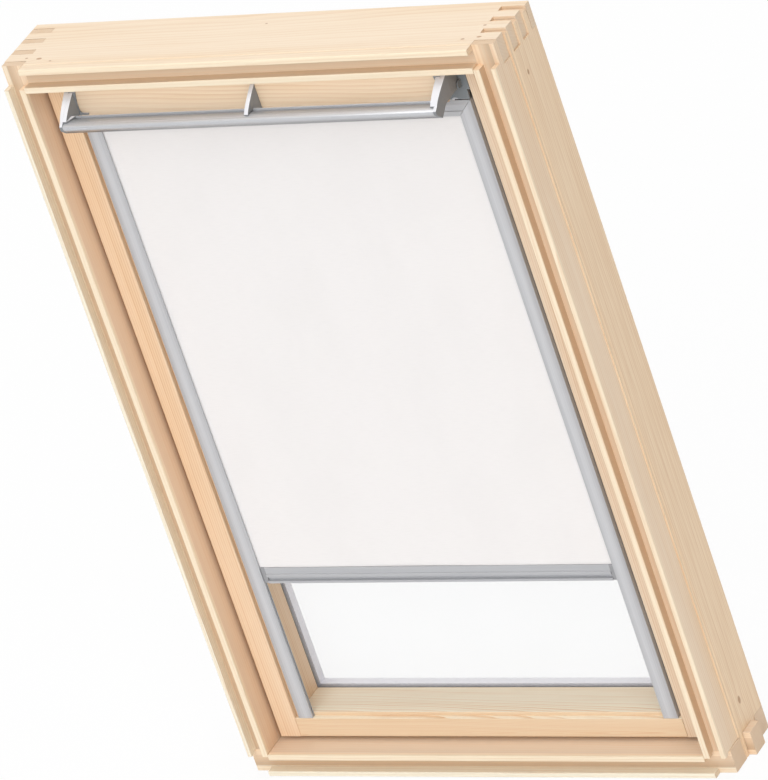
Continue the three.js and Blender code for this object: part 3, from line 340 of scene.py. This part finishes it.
def metal(name, colour, roughness, metallic, brush_axis, shade_bands=()):
    """Metal or metal-coloured trim, drawn along one axis, or plain where no axis is named.
    Each shade band is painted shade: a grey darkening along a signed axis. It starts at an unshaded place,
    deepens up to a share at a shaded place, and stops."""
    finish = Finish(name)
    x, y, z = finish.parts(finish.place())
    stretch = {"X": (6.0, 900.0, 900.0), "Z": (900.0, 900.0, 6.0), "": (260.0, 260.0, 260.0)}[brush_axis]
    brushing = finish.noise(finish.vector(x * stretch[0], y * stretch[1], z * stretch[2]), 1.0, 2.0, 0.6)
    patches = finish.noise(finish.vector(x * 9.0, y * 9.0, z * 9.0))
    dull = shade(colour, 0.9, 0.9, 0.91)
    tone = finish.mix(finish.smooth(brushing, 0.3, 0.7, 0.0, 0.35), srgb(*colour), dull)
    tone = finish.mix(finish.smooth(patches, 0.4, 0.8, 0.0, 0.1), tone, dull)
    for axis, sign, unshaded_place, shaded_place, stop, share in shade_bands:
        along = (x, y, z)[axis] * sign
        painted_darkening = finish.smooth(along, unshaded_place, shaded_place, 0.0, share)
        painted_darkening = painted_darkening * finish.smooth(along, stop, stop + 0.0002, 1.0, 0.0)
        painted_darkening = painted_darkening * finish.smooth(brushing, 0.2, 0.8, 0.8, 1.1)
        tone = finish.mix(painted_darkening, tone, shade(colour, 0.55, 0.55, 0.56))
    return finish.surface(
        Base_Color=tone,
        Metallic=metallic,
        Roughness=finish.smooth(brushing, 0.25, 0.75, roughness - 0.06, roughness + 0.08),
        Normal=finish.bump(brushing, 0.00003, 0.4),
    )


plated_steel = metal("plated steel", (186, 188, 190), 0.34, 1.0, "")
dress(plated_steel, "frame_hinge_left", "frame_hinge_right")
screw_head_radius = 0.0034
screw_head_rise = 0.0006


def screw_heads(name, places, outward, body):
    """Screw heads with a recess, one at each place, that look along a signed axis and make one piece."""
    bpy.ops.object.select_all(action="DESELECT")
    heads = []
    for place in places:
        bpy.ops.mesh.primitive_cylinder_add(
            vertices=20, radius=screw_head_radius, depth=screw_head_rise * 2, location=(0, 0, 0))
        screw_head = bpy.context.object
        bpy.ops.object.mode_set(mode="EDIT")
        shape = bmesh.from_edit_mesh(screw_head.data)
        for side in shape.faces:
            side.select = side.normal.z > 0.9
        shape.select_flush_mode()
        bmesh.update_edit_mesh(screw_head.data)
        bpy.ops.mesh.inset(thickness=screw_head_radius * 0.25)
        bpy.ops.transform.translate(value=(0, 0, screw_head_rise * 0.5))
        bpy.ops.mesh.inset(thickness=screw_head_radius * 0.42)
        bpy.ops.transform.translate(value=(0, 0, -screw_head_rise * 1.1))
        bpy.ops.object.mode_set(mode="OBJECT")
        screw_head.rotation_euler = Vector(outward).to_track_quat("Z", "Y").to_euler()
        screw_head.location = place
        bpy.ops.object.transform_apply(location=True, rotation=True, scale=True)
        heads.append(screw_head)
    for screw_head in heads:
        screw_head.select_set(True)
    bpy.context.view_layer.objects.active = heads[0]
    bpy.ops.object.join()
    heads[0].name = name
    bpy.ops.object.shade_smooth_by_angle(angle=math.radians(35))
    heads[0].data.materials.append(plated_steel)
    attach(heads[0], body)


def plate_screws(low, high, face, outer, inner):
    """The places of the four screws of a hinge plate: two near each end, at their distances from it."""
    heights = (low.z + outer, low.z + inner, high.z - inner, high.z - outer)
    return [(face, (low.y + high.y) / 2, height) for height in heights]


plate_thick = 0.002
for word, side in (("left", -1), ("right", 1)):
    low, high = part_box("frame_hinge_" + word)
    face = low.x + plate_thick if side < 0 else high.x - plate_thick
    places = plate_screws(low, high, face, outer=0.012, inner=0.036)
    screw_heads("frame_hinge_screws_" + word, places, (-side, 0, 0), "frame")

# Keeper plate of the latch.
# A small plated plate with a mouth for the bolt is screwed under the top rail, one screw at each end.
dress(plated_steel, "striker_plate")
striker_screw_margin = 0.008
low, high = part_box("striker_plate")
places = [(side * (high.x - striker_screw_margin), (low.y + high.y) / 2, low.z) for side in (-1, 1)]
screw_heads("striker_screws", places, (0, 0, -1), "frame")

# Sash members.
# Four pine members, tenoned together and varnished, a shade warmer than the frame.
# The lower rail is flat sawn and shows its rings as long arches.
sash_pine = (252, 225, 194)
dress(pine("pine sash left", "Z", (-0.25, -0.10), (247, 220, 189), 0.0030, 1.2, 0.008), "sash_left_stile")
dress(pine("pine sash right", "Z", (0.45, 0.02), (240, 219, 194), 0.0032, 1.2, 0.008), "sash_right_stile")
dress(
    pine(
        "pine sash bottom", "X", (0.048, -0.030), (255, 233, 203), 0.0024, 1.3, 0.03,
        # Painted shade on the rail's front and painted light on its upward face.
        faces=((1, -1, (243, 218, 186)), (2, 1, (255, 245, 222))),
    ),
    "sash_bottom_rail",
)
dress(pine("pine sash top", "X", (1.06, 0.10), sash_pine, 0.0034, 0.4), "sash_top_rail")

# Pivot hinges and latch of the sash.
# The eye plates turn on the frame's pins; the latch case and its bolt sit in the top of the sash.
dress(plated_steel, "sash_hinge_left", "sash_hinge_right", "latch_case", "latch_bolt")
for word, side in (("left", -1), ("right", 1)):
    low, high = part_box("sash_hinge_" + word)
    places = plate_screws(low, high, low.x if side < 0 else high.x, outer=0.022, inner=0.046)
    screw_heads("sash_hinge_screws_" + word, places, (side, 0, 0), "sash")

# Glazing.
# Two panes with an aluminium spacer between them are bedded on rubber strips.
# Bent aluminium covers close the joint on the weather side.


def rubber(name, colour):
    """Extruded rubber, matt, with a faint drag along its length."""
    finish = Finish(name)
    grain = finish.noise(finish.place(), 700.0, 3.0, 0.6)
    return finish.surface(
        Base_Color=finish.mix(grain, srgb(*colour), shade(colour, 1.3, 1.3, 1.3)),
        Roughness=finish.smooth(grain, 0.3, 0.7, 0.6, 0.78),
        Normal=finish.bump(grain, 0.00005, 0.5),
    )


dress(rubber("glazing rubber", (88, 78, 70)), "inner_glazing_gasket", "outer_glazing_gasket", "flap_seal")
pane = Finish("clear pane")
streak = pane.noise(pane.place(), 3.0, 2.0)
clear_pane = pane.surface(
    Base_Color=(0.96, 0.98, 1.0),
    Roughness=pane.smooth(streak, 0.3, 0.7, 0.0, 0.03),
    Alpha=pane.smooth(streak, 0.3, 0.7, 0.03, 0.05),
)
dress(clear_pane, "inner_pane", "outer_pane")
dress(metal("mill aluminium", (246, 245, 250), 0.4, 0.2, ""), "pane_spacer")
cover_aluminium = metal("cover aluminium", (124, 126, 130), 0.5, 0.3, "")
dress(cover_aluminium, "cover_top", "cover_bottom", "cover_left", "cover_right")

# Ventilation flap.
# A planed pine board with a long rounded nose turns on a pin at each end and shuts the air slots behind it.
# Its nose is cut off square at the end arms. Outlines are in millimetres, outwards and up from the pin.
pin = Vector(next(joint["pos_m"] for joint in frame["joints"] if joint["name"] == "control_bar_tilt"))
fit_gap = 0.3
cut_past = 2.0
flap_back = 4.0
flap_face = -22.0
flap_head = 30.0
flap_foot = -4.0
flap_round = 2.0
nose_start = -5.0
nose_foot = -19.5
nose_back = -9.0
flap_wood_half = 293.0
arm_inner = 287.7


def bend(*corners, steps=10):
    """A curved run of an outline. It starts and ends at the outer corners, and the others pull it."""
    points = []
    for step in range(steps + 1):
        level = corners
        while len(level) > 1:
            pairs = zip(level, level[1:])
            level = [tuple(a + (b - a) * step / steps for a, b in zip(here, there)) for here, there in pairs]
        points.append(level[0])
    return points


def at_x(x, outline):
    """The points of an outline, given outwards and up, at one place along X."""
    return [(x, y, z) for y, z in outline]


def drawn(name, ring, travel):
    """A solid with one section: a ring of points, in millimetres from the flap's pin, drawn by a travel."""
    ring = [corner for index, corner in enumerate(ring) if math.dist(corner, ring[index - 1]) > 0.01]
    bpy.ops.object.select_all(action="DESELECT")
    bpy.ops.mesh.primitive_circle_add(vertices=len(ring), fill_type="NGON", location=(0, 0, 0))
    made = bpy.context.object
    made.name = name
    for vertex, corner in zip(made.data.vertices, ring):
        vertex.co = pin + Vector(corner) / 1000
    bpy.ops.object.mode_set(mode="EDIT")
    bpy.ops.mesh.select_all(action="SELECT")
    bpy.ops.mesh.extrude_region_move(TRANSFORM_OT_translate={"value": Vector(travel) / 1000})
    bpy.ops.mesh.select_all(action="SELECT")
    bpy.ops.mesh.normals_make_consistent(inside=False)
    bpy.ops.object.mode_set(mode="OBJECT")
    return made


def worked(whole, operation, *others):
    """Joins other solids to a piece or cuts them out of it, and takes them away."""
    for other in others:
        work = whole.modifiers.new("work", "BOOLEAN")
        work.operation = operation
        work.object = other
        work.solver = "EXACT"
        bpy.context.view_layer.objects.active = whole
        bpy.ops.object.modifier_apply(modifier="work")
        bpy.data.objects.remove(other, do_unlink=True)


def edged(whole, width):
    """Breaks the sharp edges of a piece and smooths its curves."""
    bpy.ops.object.select_all(action="DESELECT")
    whole.select_set(True)
    bpy.context.view_layer.objects.active = whole
    edge = whole.modifiers.new("edge", "BEVEL")
    edge.width = width
    edge.segments = 2
    edge.limit_method = "ANGLE"
    edge.angle_limit = math.radians(40)
    bpy.ops.object.modifier_apply(modifier="edge")
    bpy.ops.object.shade_smooth_by_angle(angle=math.radians(30))


def on_flap(whole, material, slot, *stands_for):
    """Gives a piece its finish and lets it swing with the flap."""
    whole.data.materials.clear()
    whole.data.materials.append(material)
    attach(whole, "flap")
    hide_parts(*stands_for)


round_foot = bend((0, flap_foot), (flap_back, flap_foot), (flap_back, 0), steps=6)
round_head = bend(
    (flap_face + flap_round, flap_head), (flap_face, flap_head), (flap_face, flap_head - flap_round), steps=4)
round_nose = bend((flap_face, nose_start), (flap_face, nose_foot), (nose_back, nose_foot), steps=14)
flap_outline = [
    (flap_back, flap_head - flap_round), (flap_back - flap_round, flap_head),
    *round_head, *round_nose, *round_foot,
]
flap_board = drawn("flap_board", at_x(-flap_wood_half, flap_outline), (flap_wood_half * 2, 0, 0))
nose_end = [
    (flap_back + cut_past, flap_foot), (flap_back + cut_past, nose_foot - cut_past),
    (flap_face - cut_past, nose_foot - cut_past), (flap_face - cut_past, flap_foot),
]
nose_half = arm_inner - fit_gap
cut_width = flap_wood_half + cut_past - nose_half
worked(
    flap_board, "DIFFERENCE",
    drawn("nose_end_left", at_x(-nose_half, nose_end), (-cut_width, 0, 0)),
    drawn("nose_end_right", at_x(nose_half, nose_end), (cut_width, 0, 0)),
)
edged(flap_board, width=0.0005)
flap_pine = pine("pine flap", "X", (1.02, -0.16), (254, 231, 202), 0.0046, 0.9, 0.012)
on_flap(flap_board, flap_pine, "varnished_pine", "ventilation_flap")

# Pull bar.
# A drawn aluminium bar with a crowned top and a rounded nose for the hand.
# It has a lip along its back and an undercut return below the nose.
lip_back = -42.2
lip_front = -43.8
lip_head = 0.9
nose_head = (-65.3, -3.1)
nose_pull = (-66.6, -8.6)
nose_base = (-61.5, -12.8)
return_corner = (-55, -19)
bar_top = bend((lip_front, -2.2), (-54, 1.5), nose_head, steps=14)
bar_nose = bend(nose_head, nose_pull, nose_base, steps=10)
nose_inside = bend((-59.5, -11.8), (-64.6, -8.6), (-63.3, -5.1), steps=8)
top_inside = bend((-63.3, -5.1), (-54, -0.5), (lip_back, -4.2), steps=10)
bar_outline = [
    (lip_back, lip_head), (lip_front, lip_head), *bar_top, *bar_nose,
    return_corner, (-53, -19), (-53, -17), *nose_inside, *top_inside,
]
pull_bar = drawn("pull_bar", at_x(-flap_wood_half, bar_outline), (flap_wood_half * 2, 0, 0))
edged(pull_bar, width=0.00025)
# Painted shade on the bar: its top darkens towards the back, under the flap, and its front darkens towards the
# bottom.
bar_shade_bands = ((1, 1, -0.0980, -0.0815, -0.0795, 0.85), (2, -1, -1.1015, -1.0900, 0.0, 0.95))
bar_aluminium = metal("bar aluminium", (202, 203, 206), 0.3, 0.35, "X", shade_bands=bar_shade_bands)
on_flap(pull_bar, bar_aluminium, "grey_trim", "control_bar")

# Arms of the pull bar, and the brackets of the flap.
# The end arms are castings: a cap over the ends of flap and bar, a curved arm, a flange and a foot.
# A thin arm stands in the middle. Brackets on the sash carry the pins that the flap swings on.


def cast(name, side_colour, highlight_colour):
    """Painted casting with a fine orange peel; what faces the room and upwards gets a painted highlight in a pale
    colour.
    """
    finish = Finish(name)
    place = finish.place()
    peel = finish.noise(place, 480.0, 2.0)
    speck = finish.noise(place, 1500.0, 2.0)
    facing = finish.facing()
    painted_highlight = finish.smooth(facing[1] * -0.6 + facing[2] * 0.8, 0.66, 0.84)
    tone = finish.mix(speck * 0.3, srgb(*side_colour), shade(side_colour, 0.87, 0.87, 0.87))
    return finish.surface(
        Base_Color=finish.mix(painted_highlight, tone, srgb(*highlight_colour)),
        Metallic=0.05,
        Roughness=finish.smooth(peel, 0.3, 0.7, 0.4, 0.54),
        Normal=finish.bump(peel, 0.00008, 0.4),
    )


# The arms' near-white where they face the room and upwards is a painted highlight.
arm_casting = cast("cast arm", (138, 141, 144), (229, 229, 233))
arm_head = 27.5
arm_toe = -59.5
cap_inner = 293.3
cap_outer = 301.5
nose_outer = 297.5
flange_thick = 1.7
flange_foot = -9
cheek_drop = 0.12
foot_head = 1.5
foot_height = 4.6
bar_room_width = 18
taper_height = 70
into_cap = cap_inner + 1
beyond_nose = nose_pull[0] - cut_past
arm_root = flap_face - fit_gap
on_lip_front = lip_front - fit_gap
arm_back = bend((arm_root, arm_head), (-36, 19.5), (-55, 8.5), (arm_toe, 1), steps=16)
over_bar = [(y, z + fit_gap * 2) for y, z in reversed(bar_top) if arm_toe < y < on_lip_front]
round_lip = [
    (on_lip_front, -1.6), (on_lip_front, lip_head + fit_gap),
    (lip_back + fit_gap, lip_head + fit_gap), (lip_back + fit_gap, -3.1),
]
arm_front = [*arm_back, (arm_toe, -0.7), *over_bar, *round_lip]
cap_outline = [
    (flap_back, flap_head - flap_round), (flap_back - flap_round, flap_head), (flap_face, flap_head),
    (flap_face, arm_head), *arm_back[1:], *bar_nose, return_corner,
    *bend((-43.5, -9.9), (-38.3, -5.9), (-34, -5.9), steps=6), (-27.5, -5.9), (flap_face, flap_foot),
    *round_foot,
]
cheek_outline = [(y, z - cheek_drop) for y, z in (*arm_front, (arm_root, flange_foot))]
bar_room_outline = [(lip_front, -8), (lip_front, -1.6), *reversed(over_bar), (-60, -1), (-60, -8)]
flange_ring = [
    *bend((arm_inner - 4.5, arm_head), (arm_inner, 8), (arm_inner - 1.5, -3), steps=8),
    *bend((arm_inner - 1.5, -3), (arm_inner - 1.5, -6.5), (arm_inner - 14, -6.5), steps=6),
    (arm_inner - 14, flange_foot), (into_cap, flange_foot), (into_cap, arm_head),
]
foot_ring = [
    (into_cap, arm_toe), (arm_inner, arm_toe), (arm_inner - 7, on_lip_front), (into_cap, on_lip_front),
]
taper_ring = [
    (cap_outer, flap_face), (nose_outer, nose_pull[0]), (nose_outer, beyond_nose),
    (cap_outer + cut_past, beyond_nose), (cap_outer + cut_past, flap_face),
]
for word, side in (("left", -1), ("right", 1)):
    cap_width = side * (cap_outer - cap_inner)
    cheek_width = side * (into_cap - arm_inner)
    room_start = side * (arm_inner - bar_room_width / 2)
    flange_places = [(side * x, arm_root, z) for x, z in flange_ring]
    foot_places = [(side * x, y, foot_head) for x, y in foot_ring]
    taper_places = [(side * x, y, taper_height / 2) for x, y in taper_ring]
    end_arm = drawn("end_arm_" + word, at_x(side * cap_inner, cap_outline), (cap_width, 0, 0))
    cheek = drawn("cheek", at_x(side * arm_inner, cheek_outline), (cheek_width, 0, 0))
    flange = drawn("flange", flange_places, (0, -flange_thick, 0))
    worked(end_arm, "UNION", cheek, flange)
    foot = drawn("foot", foot_places, (0, 0, -foot_height))
    bar_room = drawn("bar_room", at_x(room_start, bar_room_outline), (side * bar_room_width, 0, 0))
    worked(foot, "DIFFERENCE", bar_room)
    worked(end_arm, "UNION", foot)
    taper = drawn("taper", taper_places, (0, 0, -taper_height))
    worked(end_arm, "DIFFERENCE", taper)
    edged(end_arm, width=0.00035)
    on_flap(end_arm, arm_casting, "cast_arm", "bar_arm_" + word)

middle_half = 3.2
middle_outline = [*arm_front, (arm_root, -13.5)]
middle_arm = drawn("middle_arm", at_x(-middle_half, middle_outline), (middle_half * 2, 0, 0))
edged(middle_arm, width=0.0005)
on_flap(middle_arm, arm_casting, "cast_arm", "bar_arm_middle")
dress(cast("cast bracket", (124, 130, 134), (128, 130, 132)), "flap_hinge_left", "flap_hinge_right")

# Blind channels, cassette and roller.
# Anodised aluminium extrusions run down both sides and close round the roller; moulded ends hold them.
for word, side in (("left", -1), ("right", 1)):
    # Painted shade: each channel's face darkens towards both of its long edges.
    outer_edge_shade = (0, side, 0.2960, 0.3090, 1.0, 0.35)
    inner_edge_shade = (0, -side, -0.2960, -0.2850, 0.0, 0.25)
    channel_name = "channel aluminium " + word
    channel_aluminium = metal(channel_name, (208, 209, 212), 0.4, 0.2, "Z", shade_bands=(outer_edge_shade, inner_edge_shade))
    dress(channel_aluminium, "side_channel_" + word)
dress(
    metal("cassette aluminium", (189, 190, 193), 0.42, 0.2, "X"),
    "cassette_cover", "cassette_housing", "blind_bottom_bar", "roller_tube",
)


def moulded(name, colour):
    """Moulded plastic with a fine spark texture."""
    finish = Finish(name)
    spark = finish.noise(finish.place(), 900.0, 2.0, 0.55)
    return finish.surface(
        Base_Color=finish.mix(spark * 0.4, srgb(*colour), shade(colour, 0.92, 0.92, 0.92)),
        Roughness=finish.smooth(spark, 0.3, 0.7, 0.48, 0.62),
        Normal=finish.bump(spark, 0.00006, 0.4),
    )


dress(
    moulded("grey moulding", (160, 160, 163)),
    "channel_foot_left", "channel_foot_right", "cassette_end_left", "cassette_end_right",
    "roller_plug_left", "roller_plug_right", "bar_slider_left", "bar_slider_right",
)
dress(plated_steel, "roller_pin", "spring_core", "return_spring")

# Blind cloth.
# A pale coated cloth, close woven, hangs from the roller in the channels down to the bottom bar.
# Its edges run flat in the channels; between them it waves by a fraction of a millimetre.


def woven(name, front, thread=0.0005):
    """Close plain weave on the cloth's own map, whose units are metres."""
    finish = Finish(name)
    chart = finish.node("ShaderNodeUVMap", {"uv_map": "cloth"})
    across, down, _ = finish.parts(chart)
    warp = abs(((across / thread) % 2.0) - 1.0)
    weft = abs(((down / thread) % 2.0) - 1.0)
    crossing = warp * weft
    slub = finish.noise(finish.vector(across * 60.0, down * 900.0, 0.0), 1.0, 2.0)
    cloud = finish.noise(finish.vector(across * 9.0, down * 5.0, 0.0))
    dull = shade(front, 0.97, 0.97, 0.97)
    tone = finish.mix(crossing * 0.4, srgb(*front), dull)
    tone = finish.mix(finish.smooth(slub, 0.4, 0.7, 0.0, 0.3), tone, dull)
    tone = finish.mix(finish.smooth(cloud, 0.4, 0.7, 0.0, 0.3), tone, dull)
    return finish.surface(
        Base_Color=tone,
        Roughness=finish.smooth(slub, 0.3, 0.7, 0.82, 0.92),
        Normal=finish.bump(crossing * 0.6 + slub * 0.4, 0.00006, 0.4),
        Specular_IOR_Level=0.2,
    )


cloth_finish = woven("blind cloth", (246, 243, 242))


def cloth_mesh(name, path, half_width, thickness, columns, wave=0.0):
    """A sheet that follows a path of (y, z) points, its width along X, with a real thickness."""
    mesh = bpy.data.meshes.new(name)
    built = bmesh.new()
    chart = built.loops.layers.uv.new("cloth")
    run = [0.0]
    for here, there in zip(path, path[1:]):
        run.append(run[-1] + math.dist(here, there))
    rows = []
    for index, (y, z) in enumerate(path):
        row = []
        for column in range(columns + 1):
            share = column / columns * 2 - 1
            x = share * half_width
            free = max(0.0, 1 - abs(share) ** 8) if wave else 0.0
            ripple = math.sin(x * 21 + run[index] * 3) * 0.6 + math.sin(x * 9 - run[index] * 7 + 1) * 0.4
            row.append(built.verts.new((x, y + wave * free * ripple, z)))
        rows.append(row)
    for index in range(len(path) - 1):
        for column in range(columns):
            places = ((column, index), (column + 1, index), (column + 1, index + 1), (column, index + 1))
            face = built.faces.new([rows[down][at] for at, down in places])
            for loop, (at, down) in zip(face.loops, places):
                loop[chart].uv = (at / columns * half_width * 2, run[down])
            face.smooth = True
    built.to_mesh(mesh)
    built.free()
    sheet = bpy.data.objects.new(name, mesh)
    bpy.context.scene.collection.objects.link(sheet)
    bpy.ops.object.select_all(action="DESELECT")
    sheet.select_set(True)
    bpy.context.view_layer.objects.active = sheet
    wall = sheet.modifiers.new("wall", "SOLIDIFY")
    wall.thickness = thickness
    wall.offset = 0.0
    bpy.ops.object.modifier_apply(modifier="wall")
    sheet.data.materials.append(cloth_finish)
    return sheet, run[-1]


cloth_low, cloth_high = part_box("blind_cloth")
roll_low, roll_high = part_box("cloth_roll")
roll_middle = (roll_low + roll_high) / 2
bar_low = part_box("blind_bottom_bar")[0].z
cloth_half_thick = 0.0003
cloth_plane = cloth_low.y + cloth_half_thick
roll_clear = 0.0008
lead_height = 0.019
inside_bar = 0.0155
off_roll = roll_low.y - roll_clear
hang_top = roll_middle.z - lead_height
hang_low = bar_low + inside_bar
lead_steps = 8
hang_steps = 60
lead = []
for step in range(lead_steps):
    share = step / lead_steps
    depth = off_roll + (cloth_plane - off_roll) * share ** 1.6
    lead.append((depth, roll_middle.z + (hang_top - roll_middle.z) * share))
hang = [(cloth_plane, hang_top + (hang_low - hang_top) * step / hang_steps) for step in range(hang_steps + 1)]
blind_cloth, cloth_length = cloth_mesh(
    "blind_cloth_woven", lead + hang, cloth_high.x, thickness=0.00045, columns=48, wave=0.00035)
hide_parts("blind_cloth")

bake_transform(blind_cloth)

# Wound cloth.
# The rest of the same cloth lies on the roller in even turns, one on the other.
turns = 7
turn_steps = 40
wound_inner = 0.0103
wound_outer = 0.0151
pitch = (wound_outer - wound_inner - cloth_half_thick) / turns
wound_path = []
for step in range(turns * turn_steps + 1):
    angle = -math.pi / 2 - step / turn_steps * math.tau
    radius = wound_inner + cloth_half_thick + pitch * step / turn_steps
    wound_path.append((roll_middle.y + math.sin(angle) * radius, roll_middle.z + math.cos(angle) * radius))
wound_cloth, wound_length = cloth_mesh(
    "cloth_roll_woven", wound_path, cloth_high.x, thickness=0.00042, columns=8)
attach(wound_cloth, "roller")
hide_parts("cloth_roll")

# Air filter.
# A strip of open foam lies in its recess behind the flap and cleans the air that passes the slots.
filter_low, filter_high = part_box("air_filter")
bpy.ops.object.select_all(action="DESELECT")
bpy.ops.mesh.primitive_cube_add(size=1, location=(filter_low + filter_high) / 2)
foam_strip = bpy.context.object
foam_strip.name = "air_filter_foam"
foam_strip.scale = filter_high - filter_low
bpy.ops.object.transform_apply(location=True, rotation=False, scale=True)
bpy.ops.object.mode_set(mode="EDIT")
foam_shape = bmesh.from_edit_mesh(foam_strip.data)
for edge in foam_shape.edges:
    edge.select = abs(edge.verts[0].co.x - edge.verts[1].co.x) > 0.1
bmesh.update_edit_mesh(foam_strip.data)
bpy.ops.mesh.subdivide(number_cuts=90)
bpy.ops.mesh.select_all(action="SELECT")
bpy.ops.mesh.bevel(offset=0.0006, segments=2, affect="EDGES")
bpy.ops.object.mode_set(mode="OBJECT")
foam = Finish("filter foam")
cells = foam.node("ShaderNodeTexVoronoi", {}, {"Vector": foam.place(), "Scale": 700.0})
foam_strip.data.materials.append(foam.surface(
    Base_Color=foam.mix(foam.smooth(cells, 0.2, 0.7), srgb(60, 60, 58), srgb(128, 128, 124)),
    Roughness=0.95,
    Normal=foam.bump(cells, 0.0006, 0.9),
))
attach(foam_strip, "sash")
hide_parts("air_filter")

# Floor and world.
# The window stands upright on a white floor, which keeps a soft shadow.


def seen_directly(finish):
    """1 for what is looked at straight, in a reflection or through glass, and 0 for any other light."""
    rays = finish.node("ShaderNodeLightPath").socket.node.outputs
    seen = Wire(finish, rays["Is Camera Ray"])
    for name in ("Is Glossy Ray", "Is Transmission Ray"):
        seen = finish.node("ShaderNodeMath", {"operation": "MAXIMUM"}, {0: seen, 1: Wire(finish, rays[name])})
    return seen


bpy.ops.object.select_all(action="DESELECT")
bpy.ops.mesh.primitive_circle_add(vertices=96, radius=30, fill_type="NGON", location=(0, 0, -0.0005))
floor = bpy.context.object
floor.name = "floor"
white = Finish("white floor")
dull_floor = white.node("ShaderNodeBsdfDiffuse", {}, {"Color": (0.97, 0.97, 0.97)})
bright_floor = white.node("ShaderNodeEmission", {}, {"Color": (1.0, 1.0, 1.0), "Strength": 1.0})
floor_share = seen_directly(white) * 0.92
floor.data.materials.append(white.end_in(
    white.node("ShaderNodeMixShader", {}, {0: floor_share, 1: dull_floor, 2: bright_floor})
))

studio = bpy.data.worlds.new("studio")
bpy.context.scene.world = studio
sky = Finish("studio", studio)
sky_range = {"Value": seen_directly(sky), "To Min": 0.24, "To Max": 1.0}
sky_strength = sky.node("ShaderNodeMapRange", {}, sky_range)
sky_light = sky.node("ShaderNodeBackground", {}, {"Color": (1.0, 1.0, 1.0), "Strength": sky_strength})
sky.node("ShaderNodeOutputWorld", {}, {"Surface": sky_light})

# Lamps and camera.
# Three broad lamps, each with a strength, a spread in degrees and the way to it from the window.
# The camera stands well back with a long lens, turned as in the photograph.
lamps = (
    ("key", 1.26, 64, (0.2, -0.5, 0.42)),
    ("top", 1.42, 24, (0.0, 0.03, 1.0)),
    ("front", 0.62, 50, (0.05, -1.0, 0.06)),
)
for name, energy, spread, way in lamps:
    lamp = bpy.data.lights.new(name, "SUN")
    lamp.energy = energy
    lamp.angle = math.radians(spread)
    stand = bpy.data.objects.new(name, lamp)
    bpy.context.scene.collection.objects.link(stand)
    stand.rotation_euler = Vector(way).to_track_quat("Z", "Y").to_euler()

camera_data = bpy.data.cameras.new("camera")
camera_data.sensor_width = 36
camera_data.lens = 388.1
camera_data.clip_end = 100
camera = bpy.data.objects.new("camera", camera_data)
bpy.context.scene.collection.objects.link(camera)
camera_place = Matrix.Translation((5.94282, -8.42875, 5.94007))
camera_turn = Euler([math.radians(angle) for angle in (61.28558, 17.00577, 26.09056)])
camera.matrix_world = camera_place @ camera_turn.to_matrix().to_4x4()
bpy.context.scene.camera = camera
bpy.context.scene.view_settings.view_transform = "Standard"
